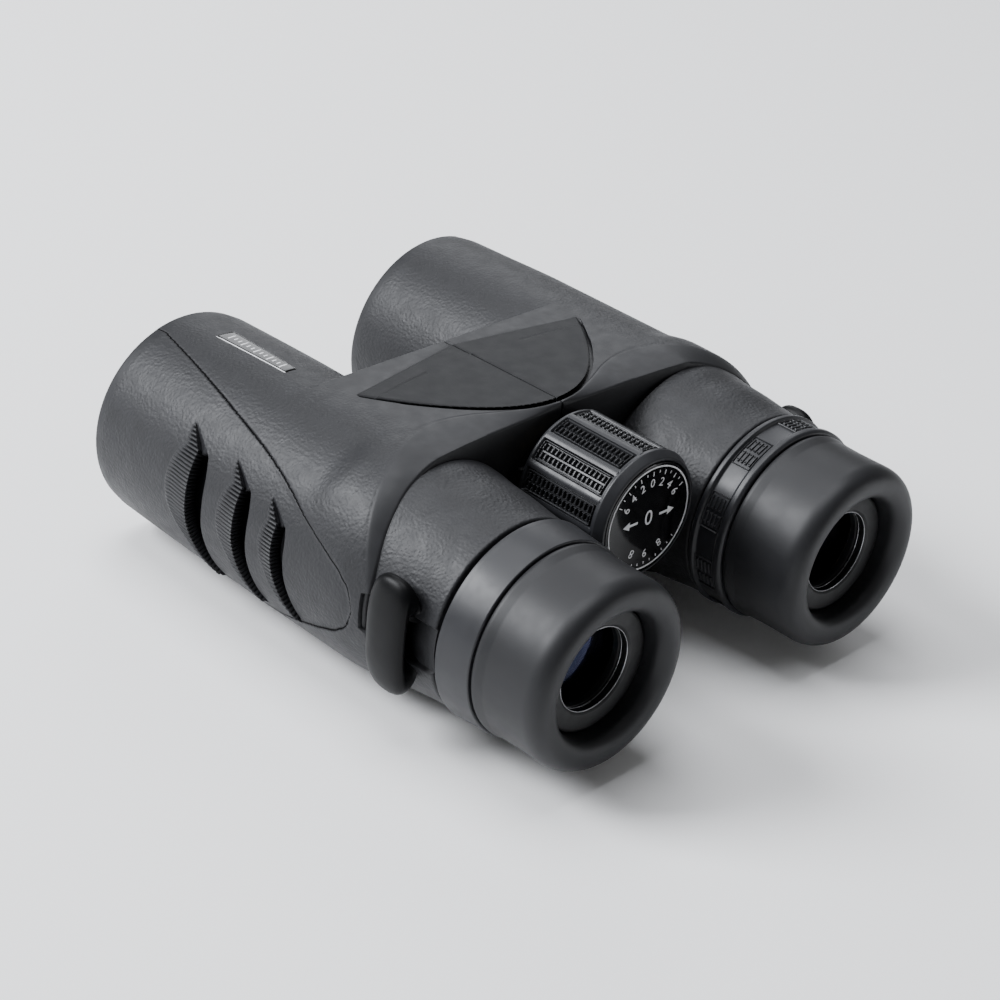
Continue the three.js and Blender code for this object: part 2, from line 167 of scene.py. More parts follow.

# %% [markdown]
# ## Finishes
# Armour rubber is nearly black, but never flat: it has a fine leather grain that breaks the highlights and a
# tone that changes at random, and painted shade darkens and dulls its grooves and hollows. Each finish is one
# material made of noise and cell patterns in object space. How strong the grain is comes from an attribute of
# the mesh, so that one skin can go from pebbled to smooth, as moulded rubber does where the tool was
# polished.

# %% Finishes
class Finish:
    """A material with a principled shader, and short calls for the patterns on it."""

    def __init__(self, name, colour, roughness, metallic=0.0, specular=0.5):
        self.material = bpy.data.materials.new(name)
        self.material.use_nodes = True
        self.tree = self.material.node_tree
        self.shader = self.tree.nodes["Principled BSDF"]
        self.set("Base Color", (*colour, 1))
        self.set("Roughness", roughness)
        self.set("Metallic", metallic)
        self.set("Specular IOR Level", specular)
        self.colour, self.roughness = colour, roughness
        self.place = self.node("ShaderNodeTexCoord").outputs["Object"]

    def node(self, kind, **settings):
        made = self.tree.nodes.new(kind)
        for key, value in settings.items():
            setattr(made, key, value)
        return made

    def set(self, socket, value):
        self.shader.inputs[socket].default_value = value

    def link(self, out, socket):
        self.tree.links.new(out, socket)

    def noise(self, size_mm, detail=3.0, stretch=None):
        """Noise with features of the given size, stretched along an axis if asked."""
        noise = self.node("ShaderNodeTexNoise")
        noise.inputs["Scale"].default_value = MM / size_mm
        noise.inputs["Detail"].default_value = detail
        self.link(self.mapped(stretch), noise.inputs["Vector"])
        return noise.outputs["Fac"]

    def cells(self, size_mm):
        """Rounded cells of the given size."""
        cells = self.node("ShaderNodeTexVoronoi", feature="SMOOTH_F1")
        cells.inputs["Scale"].default_value = MM / size_mm
        self.link(self.place, cells.inputs["Vector"])
        return cells.outputs["Distance"]

    def mapped(self, stretch):
        if stretch is None:
            return self.place
        mapping = self.node("ShaderNodeMapping")
        mapping.inputs["Scale"].default_value = stretch
        self.link(self.place, mapping.inputs["Vector"])
        return mapping.outputs["Vector"]

    def math(self, operation, a, b):
        made = self.node("ShaderNodeMath", operation=operation)
        for socket, value in zip(made.inputs, (a, b)):
            if isinstance(value, (int, float)):
                socket.default_value = value
            else:
                self.link(value, socket)
        return made.outputs["Value"]

    def attribute(self, name):
        return self.node("ShaderNodeAttribute", attribute_name=name).outputs["Fac"]

    def ramp(self, fac, low, high, start=0.0, end=1.0):
        """A value that goes from low at start to high at end."""
        made = self.node("ShaderNodeMapRange")
        for key, value in (("From Min", start), ("From Max", end), ("To Min", low), ("To Max", high)):
            made.inputs[key].default_value = value
        self.link(fac, made.inputs["Value"])
        return made.outputs["Result"]

    def tint(self, fac, dark, light, start=0.3, end=0.7):
        """Base colour between two tones, by a pattern."""
        mix = self.node("ShaderNodeMix", data_type="RGBA")
        mix.inputs["A"].default_value = (*[c * dark for c in self.colour], 1)
        mix.inputs["B"].default_value = (*[c * light for c in self.colour], 1)
        self.link(self.ramp(fac, 0, 1, start, end), mix.inputs["Factor"])
        self.link(mix.outputs["Result"], self.shader.inputs["Base Color"])

    def shine(self, fac, low, high, start=0.3, end=0.7):
        self.link(self.ramp(fac, low, high, start, end), self.shader.inputs["Roughness"])

    def bump(self, height, depth_mm, strength=1.0):
        """Bump of the given depth on top of the bumps made before it."""
        bump = self.node("ShaderNodeBump")
        bump.inputs["Distance"].default_value = depth_mm / MM
        if isinstance(strength, (int, float)):
            bump.inputs["Strength"].default_value = strength
        else:
            self.link(strength, bump.inputs["Strength"])
        self.link(height, bump.inputs["Height"])
        before = self.shader.inputs["Normal"].links
        if before:
            self.link(before[0].from_socket, bump.inputs["Normal"])
        self.link(bump.outputs["Normal"], self.shader.inputs["Normal"])


def armour_finish():
    """Leather grain: rounded cells of about 0.7 mm broken up by noise, as deep as the grain attribute says.
    Painted shade makes the valleys between ribs, the scoops' hollows and the strap channel dark and dull, as
    far as a mesh attribute says. The side panel's groove is a bump, a Gaussian of the distance to its line,
    which the attribute panel_line holds as 2 + distance / 3 mm; the same Gaussian also paints shade along the
    groove."""
    made = Finish("armour_rubber", (0.0120, 0.0123, 0.0142), 0.5, specular=0.36)
    grain = made.math("ADD", made.cells(0.72), made.math("MULTIPLY", made.noise(0.55, 3), 0.7))
    made.bump(grain, 0.085, made.attribute("grain"))
    away = made.math("MULTIPLY", made.math("SUBTRACT", made.attribute("panel_line"), 2.0), 3.0 / 0.27)
    groove = made.math("EXPONENT", made.math("MULTIPLY", made.math("MULTIPLY", away, away), -1.0), 0.0)
    made.bump(made.math("SUBTRACT", 1.0, groove), 0.30, 1.0)
    tone = made.ramp(made.noise(5, 3), 0.72, 0.95, 0.3, 0.7)
    # Painted shade: base colour and specular level drop in the side panel's groove and in the valleys that a
    # mesh attribute marks.
    outside_valley_shade = made.math("SUBTRACT", 1.0, made.attribute("painted_valley_shade"))
    painted_lighting = made.math("MULTIPLY", made.math("SUBTRACT", 1.0, groove), outside_valley_shade)
    made.tint(made.math("MULTIPLY", tone, painted_lighting), 0.12, 1.15, 0.0, 1.0)
    made.link(made.math("MULTIPLY", painted_lighting, 0.36), made.shader.inputs["Specular IOR Level"])
    made.shine(made.noise(3, 3), 0.47, 0.55)
    return made.material


def satin_finish(name, colour, rough=(0.42, 0.52), size_mm=0.25, depth_mm=0.012, specular=0.4):
    """Smooth moulded skin: a very fine tooth and slow changes of shine."""
    made = Finish(name, colour, rough[0], specular=specular)
    made.bump(made.noise(size_mm, 3), depth_mm, 0.6)
    made.tint(made.noise(7, 4), 0.95, 1.06)
    made.shine(made.noise(3.5, 5), *rough)
    return made.material


def metal_finish(name, colour, roughness):
    """Turned metal: fine rings about the barrel's length, drawn by noise stretched round it."""
    made = Finish(name, colour, roughness, metallic=1.0)
    made.bump(made.noise(0.8, 2, stretch=(0.05, 6, 0.05)), 0.01, 0.5)
    made.shine(made.noise(3, 3), roughness * 0.8, roughness * 1.3)
    return made.material


def glass_finish(name, film_nm, tone=(1, 1, 1)):
    """Optical glass with a thin coating whose thickness gives the reflection its colour."""
    made = Finish(name, tone, 0.0)
    made.set("Transmission Weight", 1.0)
    made.set("IOR", 1.52)
    made.set("Thin Film Thickness", film_nm)
    made.set("Thin Film IOR", 1.38)
    made.bump(made.noise(14, 1), 0.002, 0.2)
    return made.material


ARMOUR = armour_finish()
EYECUP_SKIN = satin_finish("eyecup_rubber", (0.0105, 0.0107, 0.0122), (0.45, 0.50), 0.35, 0.008, 0.32)
LEAF_SKIN = satin_finish("leaf_satin", (0.0085, 0.0088, 0.0098), (0.50, 0.56), 0.18, 0.010, 0.18)
RING_SKIN = satin_finish("ring_plastic", (0.0140, 0.0145, 0.0170), (0.38, 0.46), 0.2, 0.006)
WHEEL_SKIN = satin_finish("wheel_rubber", (0.0165, 0.0170, 0.0195), (0.36, 0.46), 0.2, 0.006)
KNURL_SKIN = satin_finish("wheel_knurl", (0.0180, 0.0185, 0.0210), (0.38, 0.50), 0.12, 0.008)
DARK_SKIN = satin_finish("inner_black", (0.0045, 0.0045, 0.0050), (0.45, 0.6), 0.3, 0.008)
CASING_SKIN = satin_finish("casing_plastic", (0.0080, 0.0080, 0.0090), (0.42, 0.55), 0.3, 0.015)
LUG_SKIN = satin_finish("lug_plastic", (0.0022, 0.0023, 0.0027), (0.36, 0.44), 0.25, 0.006, 0.13)
GLOSS = satin_finish("gloss_black", (0.0030, 0.0030, 0.0035), (0.06, 0.10), 1.5, 0.001)
PRINT = satin_finish("print_white", (0.72, 0.72, 0.73), (0.4, 0.5), 0.2, 0.004)
STEEL = metal_finish("axle_steel", (0.55, 0.55, 0.56), 0.3)
BRASS = metal_finish("washer_brass", (0.75, 0.58, 0.28), 0.3)
BLACK_METAL = metal_finish("black_metal", (0.022, 0.022, 0.024), 0.32)
BEAD_METAL = metal_finish("bead_metal", (0.30, 0.30, 0.31), 0.25)
EYE_GLASS = glass_finish("eye_glass", 390, (0.45, 0.48, 0.62))
OBJECTIVE_GLASS = glass_finish("objective_glass", 384)
INNER_GLASS = glass_finish("inner_glass", 110)
PRISM_GLASS = glass_finish("prism_glass", 110, (0.10, 0.13, 0.17))
print(len(bpy.data.materials), "finishes")

# %% [markdown]
# ## Helpers for surfaces
# Two ways of making a surface serve the whole object. A profile of radius and length, with its corners
# rounded, is turned round an axis. A free skin is a grid of points worked out by a formula. Both end in the
# same call, which makes a mesh of the quads over the grid, welds it and turns it outwards; another call then
# gives it its finish and puts it on its body.

# %% Helpers for surfaces
def weld(mesh):
    """Merges points that lie together, drops empty faces and turns the skin outwards."""
    work = bmesh.new()
    work.from_mesh(mesh)
    bmesh.ops.remove_doubles(work, verts=work.verts, dist=2e-6)
    bmesh.ops.dissolve_degenerate(work, edges=work.edges, dist=1e-6)
    bmesh.ops.recalc_face_normals(work, faces=work.faces)
    work.to_mesh(mesh)
    work.free()


def finish_piece(piece, body, slot, material, *nodes):
    """Gives a piece its finish and its body, and hides the CAD nodes that it stands for. The slot argument is
    not used.
    """
    piece.data.materials.clear()
    piece.data.materials.append(material)
    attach(piece, body)
    if nodes:
        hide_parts(*nodes)
    return piece


def link_piece(name, mesh):
    piece = bpy.data.objects.new(name, mesh)
    bpy.context.scene.collection.objects.link(piece)
    return piece


def add_mesh(name, points, faces, attributes=None, smooth=True, sharp=None):
    """An object from points in millimetres and faces, with its float attributes. Edges that turn
    by more than sharp degrees stay crisp."""
    mesh = bpy.data.meshes.new(name)
    mesh.from_pydata((np.asarray(points).reshape(-1, 3) / MM).tolist(), [], faces)
    for key, values in (attributes or {}).items():
        layer = mesh.attributes.new(key, "FLOAT", "POINT")
        layer.data.foreach_set("value", np.asarray(values, float).ravel())
    weld(mesh)
    mesh.polygons.foreach_set("use_smooth", [smooth] * len(mesh.polygons))
    if sharp:
        mesh.set_sharp_from_angle(angle=math.radians(sharp))
    return link_piece(name, mesh)


def grid_faces(rows, columns, wrap_rows=False, wrap_columns=False):
    """Quads over a grid of points, closed in either direction if asked."""
    i = np.arange(rows if wrap_rows else rows - 1)
    j = np.arange(columns if wrap_columns else columns - 1)
    i, j = (a.ravel() for a in np.meshgrid(i, j, indexing="ij"))
    i2, j2 = (i + 1) % rows, (j + 1) % columns
    return np.stack([i * columns + j, i2 * columns + j, i2 * columns + j2, i * columns + j2], 1).tolist()


def plate_ends(rows, columns):
    """Quads that close both ends of a grid whose second half is the first half's underside, run
    backwards: each joins two points of the top with the two below them."""
    return [[i * columns + c, (i + 1) * columns + c, (rows - 2 - i) * columns + c,
             (rows - 1 - i) * columns + c] for c in (0, columns - 1) for i in range(rows // 2 - 1)]


def rounded(points, radius=0.3, steps=4, closed=True):
    """A profile whose corners are replaced by arcs: each corner is left and reached again at the
    radius, or at 45% of a shorter side, along a quadratic curve with its middle on the corner."""
    points = [np.array(p, float) for p in points]
    made = []
    count = len(points)
    for k, corner in enumerate(points):
        if not closed and k in (0, count - 1):
            made.append(corner)
            continue
        before, after = points[k - 1], points[(k + 1) % count]
        to_before, to_after = before - corner, after - corner
        reach = min(radius, 0.45 * np.hypot(*to_before), 0.45 * np.hypot(*to_after))
        start = corner + to_before / np.hypot(*to_before) * reach
        end = corner + to_after / np.hypot(*to_after) * reach
        for t in np.linspace(0, 1, steps + 1):
            made.append((1 - t) ** 2 * start + 2 * t * (1 - t) * corner + t ** 2 * end)
    return np.array(made)


def turned(name, profile, centre, columns=160, closed=True, sharp=None):
    """A profile of (radius, y) turned round the line along Y through centre = (x, z)."""
    angle = np.linspace(0, 2 * np.pi, columns, endpoint=False)
    radius, y = profile[:, 0][:, None], profile[:, 1][:, None]
    points = np.stack([centre[0] + radius * np.cos(angle), y + 0 * angle,
                       centre[1] + radius * np.sin(angle)], -1)
    return add_mesh(name, points, grid_faces(len(profile), columns, closed, True), sharp=sharp)


def barrel_points(side, y, phi, radius):
    """Points round one optical axis: phi is 0 towards the hinge, 90 up and 180 outwards."""
    angle = np.radians(phi)
    inward = radius * np.cos(angle)
    return np.stack([side * (AXIS_X - inward), y + 0 * inward, AXIS_Z + radius * np.sin(angle)], -1)


def smoothstep(t):
    """Soft step from 0 to 1: t squared times (3 - 2 t), level at both ends."""
    t = np.clip(t, 0, 1)
    return t * t * (3 - 2 * t)


def axis_of(side):
    return side * AXIS_X, AXIS_Z


print("axes at", axis_of(-1), "and", axis_of(1))

# %% [markdown]
# ## The lines on the armour
# The armour is one moulding, and its character is in its lines. A band of smooth skin starts at
# the hinge and sweeps back over the barrel; a crease is its front edge and the moulding's own
# end is its rear edge. A long side panel lies inside a groove that curls round near the strap
# lug. Each line is a smooth curve of y against phi, so that the rows of the skin can follow it
# and keep it crisp without a very fine mesh.

# %% The lines on the armour
def through(*points):
    """A smooth curve through (place, value) pairs: cubic steps between them, whose slope at each
    pair is the mean of its neighbours' slopes."""
    place, value = np.array(points, float).T
    slope = np.gradient(value, place)

    def at(x):
        x = np.clip(x, place[0], place[-1])
        k = np.clip(np.searchsorted(place, x, side="right") - 1, 0, len(place) - 2)
        step = place[k + 1] - place[k]
        t = (x - place[k]) / step
        return ((2 * t ** 3 - 3 * t ** 2 + 1) * value[k] + (t ** 3 - 2 * t ** 2 + t) * step * slope[k]
                + (3 * t ** 2 - 2 * t ** 3) * value[k + 1] + (t ** 3 - t ** 2) * step * slope[k + 1])

    return at


REAR_TUBE = through((-42, 22.7), (-37.8, 22.9), (-28.5, 23.9), (-22.9, 24.3), (-19, 24.8), (-14, 25.1))
BARREL_LINE = through((-24, 24.9), (-20, 25.5), (-15, 26.1), (-8, BARREL_R), (40, BARREL_R), (58, 25.95),
                      (67.5, 25.7))
MOULD_LINE = through((-90, -22.3), (-45, -21.2), (-20, -17.2), (-5, BRIDGE_REAR_Y), (86, BRIDGE_REAR_Y),
                     (107, -17.0), (132, -20.2), (156, -23.0), (180, -23.6), (204, -23.4),
                     (235, -22.6), (270, -22.3))
CREASE = through((30, -14.9), (36, -13.7), (47, -9.7), (56, -6.4), (66, -4.6), (76, -4.4), (86, -5.7),
                 (101, -8.8), (127, -14.5), (148, -19.0), (165, -22.6))
DECK_FRONT, DECK_REAR = 26.55, 27.4
NOTCH = (166.5, 188.5)
BAND_FALL = 0.95


def MOULD_END(phi):
    """Rear end of the moulding, with a square notch at the front of the strap lug."""
    notch = smoothstep((phi - NOTCH[0]) / 1.4) * smoothstep((NOTCH[1] - phi) / 1.4)
    return MOULD_LINE(phi) + 1.9 * notch


def BARREL(y):
    """Radius of the plain barrel, never over its widest."""
    return np.minimum(BARREL_LINE(y), BARREL_R)


def deck_height(y):
    """Height of the flat bridge over the optical axis: it rises evenly towards the rear."""
    return DECK_FRONT + (DECK_REAR - DECK_FRONT) * (BRIDGE_FRONT_Y - y) / (BRIDGE_FRONT_Y - BRIDGE_REAR_Y)


def leaf_arc(u):
    """The rear line of the bridge's leaf, a parabola of y against the distance u from the hinge."""
    return -13.3 + 0.0233 * u ** 2


def leaf_front(u):
    """The front line of the bridge's leaf."""
    return 21.9 - 0.185 * u


LEAF_TIP_U = 35.6
SEAM_HALF = 0.16
HINGE_FAR = math.hypot(AXIS_X, HINGE_RISE)
HINGE_PHI = math.degrees(math.atan2(HINGE_RISE, AXIS_X))


def hinge_circle(phi, radius):
    """Distance from the optical axis to a circle about the hinge, along the ray at phi; a large
    number where the ray misses it."""
    turn = np.radians(phi - HINGE_PHI)
    under = radius ** 2 - (HINGE_FAR * np.sin(turn)) ** 2
    hit = (under > 0) & (np.cos(turn) > 0)
    return np.where(hit, HINGE_FAR * np.cos(turn) - np.sqrt(np.maximum(under, 0)), 1e3)


print("leaf tip at y", round(leaf_arc(LEAF_TIP_U), 1))

# %% [markdown]
# ## Thumb scoops and side panel
# Three scoops for the thumb are sunk into the side panel. Each has a hollow, darkened further with painted
# shade, whose front edge is cut steeply under a ribbed pad and whose rear edge runs out softly. They could be
# cut with a boolean, but a depth taken from the skin's own radius keeps the mesh clean. All three follow the
# same curves and differ in place, length and width, so a short table holds them.

# %% Thumb scoops and side panel
SCOOP_KEYS = ("wall", "tip", "corner", "fall", "bottom", "pad", "width")
SCOOPS = [dict(zip(SCOOP_KEYS, row)) for row in (
    (35.2, (139.0, 40.5), 151.0, 180, 221, 8.4, 4.7),
    (18.9, (144.0, 24.1), 154.5, 176, 216, 6.6, 3.7),
    (6.0, (150.0, 10.4), 160.5, 171, 211, 5.2, 3.0))]
SCOOP_FALL = 7.0
SCOOP_WIDTH = through((0, 0), (0.13, 0.55), (0.24, 0.88), (0.40, 1.0), (0.56, 0.95), (0.76, 0.72),
                      (1.0, 0.0))
PAD_REACH = through((0, 0), (0.17, 0.70), (0.38, 1.0), (0.64, 0.83), (1.0, 0.0))
SCOOP_DEPTH = 2.4
FACET_DEPTH = 0.75
PANEL_REAR = -19.4
PANEL_HALF = through((PANEL_REAR, 0), (-18.6, 6), (-15.4, 14.5), (-10.7, 20), (-6.1, 24.5), (-0.1, 30),
                     (7.6, 38), (14.9, 44), (31.8, 54), (50.9, 64), (67.8, 72), (72, 74))


def scoop_place(scoop, phi):
    """How far phi is from the scoop's tip, 0, to its lower end, 1."""
    return (phi - scoop["tip"][0]) / (scoop["bottom"] - scoop["tip"][0])


def scoop_wall(scoop, phi):
    """The scoop's front edge: a level line that falls away below with the power 2.1 of the angle,
    and above the corner a straight line to the tip."""
    fall = np.clip((phi - scoop["fall"]) / (scoop["bottom"] - scoop["fall"]), 0, 1.1)
    rise = np.clip((scoop["corner"] - phi) / (scoop["corner"] - scoop["tip"][0]), 0, 1)
    return scoop["wall"] - SCOOP_FALL * fall ** 2.1 + (scoop["tip"][1] - scoop["wall"]) * rise


def scoop_rear(scoop, phi):
    """The scoop's rear edge: it leaves the front edge at the tip and meets it at the lower end."""
    place = np.clip(scoop_place(scoop, phi), 0, 1)
    return scoop_wall(scoop, phi) - 0.35 - scoop["width"] * SCOOP_WIDTH(place)


def scoop_hollow(y, phi):
    """Depth of the scoops. The upper end is a shallow slanting facet; below a square corner the
    hollow begins, with a steep wall at its front edge and a bed that rises to the rear edge as
    a cosine."""
    depth = np.zeros_like(y)
    for scoop in SCOOPS:
        wall, rear = scoop_wall(scoop, phi), scoop_rear(scoop, phi)
        t = scoop_place(scoop, phi)
        along = np.clip((wall - y) / (wall - rear), 0, 1)
        inside = (y < wall - 1e-3) & (y > rear) & (t > 0) & (t < 1)
        deep = smoothstep((phi - scoop["corner"] - 1.5 + 4 * along) / 1.5)
        deep = deep * np.sqrt(np.clip(1 - np.clip(2 * t - 1, 0, 1) ** 4, 0, 1))
        facet = FACET_DEPTH * (1 - along) * smoothstep(t / 0.12) * (phi < scoop["corner"] + 6)
        hollow = SCOOP_DEPTH * np.cos(along * np.pi / 2) ** 0.8
        depth = np.where(inside, facet * (1 - deep) + hollow * deep, depth)
    return depth


def valley_shade(y, phi):
    """How deep in a scoop a point lies, from 0 outside to 1 at the bottom; it sets the painted shade in the
    hollows.
    """
    return smoothstep((scoop_hollow(y, phi) - FACET_DEPTH * 0.6) / 0.9)


def panel_edge(y, phi):
    """Signed distance in millimetres into the side panel, from the nearest point of its line."""
    line_y = np.concatenate([np.linspace(PANEL_REAR, -10, 50), np.linspace(-9.6, 71, 150)])
    line_s = np.radians(PANEL_HALF(line_y)) * BARREL_R
    s = np.radians(np.abs(phi - 180)) * BARREL_R
    best = np.full(y.shape, 1e3)
    for ly, ls in zip(line_y, line_s):
        best = np.minimum(best, (y - ly) ** 2 + (s - ls) ** 2)
    inside = (y > PANEL_REAR) & (s < np.radians(PANEL_HALF(y)) * BARREL_R)
    return np.where(inside, 1, -1) * np.sqrt(best)


print(len(SCOOPS), "scoops, deepest", SCOOP_DEPTH, "mm")

# %% [markdown]
# ## The armour shell
# One skin makes the whole barrel: pebbled tube, bridge wing, band, side panel and scoops. Its
# radius is a formula of y and phi. The rows follow the lines above, and the columns crowd where
# the bridge turns its corners. A second skin on the inside and the rolled front lip close it
# into a solid rubber wall.

# %% The armour shell
def shell_columns():
    """Angles of the columns, close together over the bridge and its corners."""
    parts = [np.arange(-90, -8, 2.0), np.arange(-8, 4, 1.0), np.arange(4, 31.5, 1.4),
             [32.05, 32.15, 32.8, 33.5, 33.9, 34.15, 34.35, 34.5, 34.65, 34.8, 35.0, 35.3],
             np.arange(35.7, 88, 0.46), np.arange(88, 130, 0.9), np.arange(130, 240, 0.9),
             np.arange(240, 270, 2.0)]
    return np.concatenate(parts)


def shell_knots(phi):
    """The lines that the rows follow, from the rear end to the front lip, for each column. Over
    the bridge they are the crease, the leaf's groove and the bridge's front edge; round the side
    they are the edges of the scoops; in between they glide from one set to the other."""
    u = AXIS_X - 26.9 / np.tan(np.radians(np.clip(phi, 30, 118)))
    groove = leaf_arc(np.clip(u, 0, 46))
    end = MOULD_END(phi)
    crease = np.maximum(np.where(phi < 30, end + 1.2, CREASE(phi)), end + 0.35)
    groove = np.maximum(groove, crease + 0.12)
    slant = np.sqrt(1 + (0.0466 * np.clip(u, 0, 46)) ** 2)
    third, second, first = SCOOPS[2], SCOOPS[1], SCOOPS[0]
    bridge = [crease, groove, groove + 0.10, groove + 0.95 * slant, np.maximum(22.5, groove + 4),
              np.full_like(phi, 24.15) + 0 * groove, np.full_like(phi, BRIDGE_FRONT_Y),
              np.full_like(phi, BRIDGE_FRONT_Y + 0.12), np.full_like(phi, 30.0),
              np.full_like(phi, 34.0), np.full_like(phi, 34.25)]
    side = [np.full_like(phi, -12.0), scoop_rear(third, phi), scoop_wall(third, phi) - 0.16,
            scoop_wall(third, phi), scoop_rear(second, phi), scoop_wall(second, phi) - 0.16,
            scoop_wall(second, phi), scoop_wall(second, phi) + 0.4, scoop_rear(first, phi),
            scoop_wall(first, phi) - 0.16, scoop_wall(first, phi)]
    to_side = smoothstep((phi - 92) / 36) * (1 - smoothstep((phi - 236) / 28))
    knots = [end] + [b * (1 - to_side) + s * to_side for b, s in zip(bridge, side)]
    knots += [np.full_like(phi, 60.0), np.full_like(phi, 67.5)]
    for k in range(1, len(knots)):
        knots[k] = np.maximum(knots[k], knots[k - 1] + 0.05)
    return np.array(knots)


ROWS_BETWEEN = [30, 28, 7, 2, 28, 9, 5, 1, 30, 9, 3, 50, 14]


def shell_rows(phi):
    """Values of y for every row and column: even steps between the knots."""
    knots = shell_knots(phi)
    rows = [knots[:1]]
    for k, count in enumerate(ROWS_BETWEEN):
        t = (np.arange(1, count + 1) / count)[:, None]
        rows.append(knots[k] * (1 - t) + knots[k + 1] * t)
    return np.concatenate(rows)


def wing_radius(y, phi):
    """The bridge wing round one optical axis: the flat deck above, the seam plane at the hinge,
    the hollow round the hinge, and a slanting web below."""
    angle = np.radians(phi)
    band = np.clip((CREASE(phi) - y) / (CREASE(phi) - MOULD_END(phi)), 0, 1)
    height = deck_height(y) - BAND_FALL * band ** 1.5
    front = np.clip(y - (BRIDGE_FRONT_Y - 0.6), 0, 0.6)
    height = height - (0.6 - np.sqrt(np.maximum(0.36 - front ** 2, 0)))
    u = AXIS_X - height / np.tan(np.clip(angle, 0.4, 3))
    groove = leaf_arc(u)
    under = 1.15 - 0.8 * smoothstep((y - groove - 2.2) / 0.5)
    sunk = smoothstep((y - groove) / 0.10) * smoothstep((leaf_front(u) - 0.2 - y) / 1.5)
    sunk = sunk * smoothstep((LEAF_TIP_U - 0.8 - u) / 2.2) * (phi > 34.7)
    height = height - under * sunk
    seam = AXIS_X - SEAM_HALF
    corner = 0.45 * (1 - np.clip(np.abs(phi - 34.6) / 0.5, 0, 1)) ** 2
    top = height / np.maximum(np.sin(angle), 1e-3) - corner
    flank = seam / np.maximum(np.cos(angle), 1e-3)
    web = 19.2 / np.maximum(0.649 * np.cos(angle) - 0.761 * np.sin(angle), 1e-3)
    hollow = np.minimum(hinge_circle(phi, 11.0), HINGE_FAR)
    return np.where(phi < 4.2, np.minimum(web, hollow),
                    np.where(phi < 32.1, hollow, np.where(phi < 90, np.minimum(top, flank), height)))


def armour_radius(y, phi):
    """Radius of the armour's outer skin."""
    end = MOULD_END(phi)
    shoulder = 1.05 * smoothstep((2 - y) / 8) * smoothstep((166 - phi) / 40) * (phi > 30)
    base = BARREL(y) + shoulder
    crease = CREASE(phi)
    band = np.clip((crease - y) / np.maximum(crease - end, 0.3), 0, 1) * (phi > 30)
    rim = REAR_TUBE(end) + 0.62
    banded = base + (rim - (BARREL(crease) + shoulder)) * band ** 1.5
    fade = smoothstep((172 - phi) / 10) * smoothstep((phi - 84) / 12)
    tube = base * (1 - fade) + banded * fade
    side = panel_edge(y, phi)
    tube = tube - (0.16 + 0.36 * smoothstep((20 - y) / 34)) * smoothstep((side + 0.6) / 1.6)
    tube = tube - scoop_hollow(y, phi)
    on_bridge = (y <= BRIDGE_FRONT_Y) & (phi > -12)
    wing = wing_radius(y, phi)
    blend = smoothstep((phi - 84) / 26)
    upper = np.where(phi < 84, np.maximum(wing, BARREL(y)),
                     np.maximum(wing, BARREL(y)) * (1 - blend) + tube * blend)
    radius = np.where(on_bridge & (phi < 110), upper, tube)
    off_bridge = smoothstep((y - BRIDGE_FRONT_Y) / 0.1)
    radius = np.where((phi >= 84) & (phi < 110), upper * (1 - off_bridge) + tube * off_bridge, radius)
    radius = radius - 0.10 * np.exp(-((y - crease) / 0.24) ** 2) * (phi > 36) * (phi < 158)
    edge = np.clip(0.5 - (y - end), 0, 0.5)
    radius = radius - (0.5 - np.sqrt(np.maximum(0.25 - edge ** 2, 0)))
    wheel_room = np.where(y < -15.6, hinge_circle(phi, WHEEL_R + 0.7), 1e3)
    return np.minimum(radius, wheel_room)


def armour_grain(y, phi):
    """How strong the leather grain is: none on the bridge and the band, full elsewhere."""
    deck = smoothstep((87 - phi) / 10) * (phi > 30) * (y < BRIDGE_FRONT_Y + 0.05)
    band = smoothstep((CREASE(phi) - y) / 0.5) * smoothstep((168 - phi) / 8) * (phi > 30)
    lip = smoothstep((y - 69.5) / 1.0)
    return 1 - np.maximum.reduce([deck, band, 0.7 * lip])


def front_lip():
    """The rolled lip, from the outer skin over the front edge into the objective's mouth."""
    return rounded([(25.7, 67.5), (25.2, 71), (22.9, 71), (22.25, 69), (22.25, 60.5)], 1.5, 7, closed=False)


def armour_shell(name, side, body):
    phi = shell_columns()
    y = shell_rows(phi)
    wide = phi[None, :] + 0 * y
    radius = armour_radius(y, wide)
    grain = armour_grain(y, wide)
    lip = front_lip()[1:]
    lip_y = lip[:, 1][:, None] + 0 * phi
    lip_r = lip[:, 0][:, None] + (radius[-1] - 25.7) * np.linspace(1, 0, len(lip))[:, None] ** 4
    inner_y = np.array([60.4, 20.0, 0.0])[:, None] + 0 * phi
    inner_r = np.full_like(inner_y, 23.72)
    last_y = MOULD_END(phi)
    last_r = np.minimum(np.where(last_y < -15.9, REAR_TUBE(last_y) + 0.04, 23.72),
                        hinge_circle(phi, WHEEL_R + 0.75))
    all_y = np.concatenate([y, lip_y, inner_y, last_y[None]])
    all_r = np.concatenate([radius, lip_r, inner_r, last_r[None]])
    all_grain = np.concatenate([grain, 0.15 + 0 * lip_y, 0 * inner_y, 0 * last_y[None]])
    points = barrel_points(side, all_y, phi[None, :], all_r)
    faces = grid_faces(len(all_y), len(phi), True, True)
    line = np.full_like(all_y, 3.0)
    line[:len(y)] = 2 + np.clip(panel_edge(y, wide) / 3, -1, 1)
    line[len(y):len(y) + len(lip)] = line[len(y) - 1]
    line[-1] = line[0]
    # Painted shade in the scoops' hollows, held as a mesh attribute.
    painted_valley_shade = np.zeros_like(all_y)
    painted_valley_shade[:len(y)] = valley_shade(y, wide)
    shell = add_mesh(name, points, faces,
                     {"grain": all_grain, "panel_line": line, "painted_valley_shade": painted_valley_shade}, sharp=42)
    return finish_piece(shell, body, "armour_rubber", ARMOUR, name.split("_")[0] + "_armour")


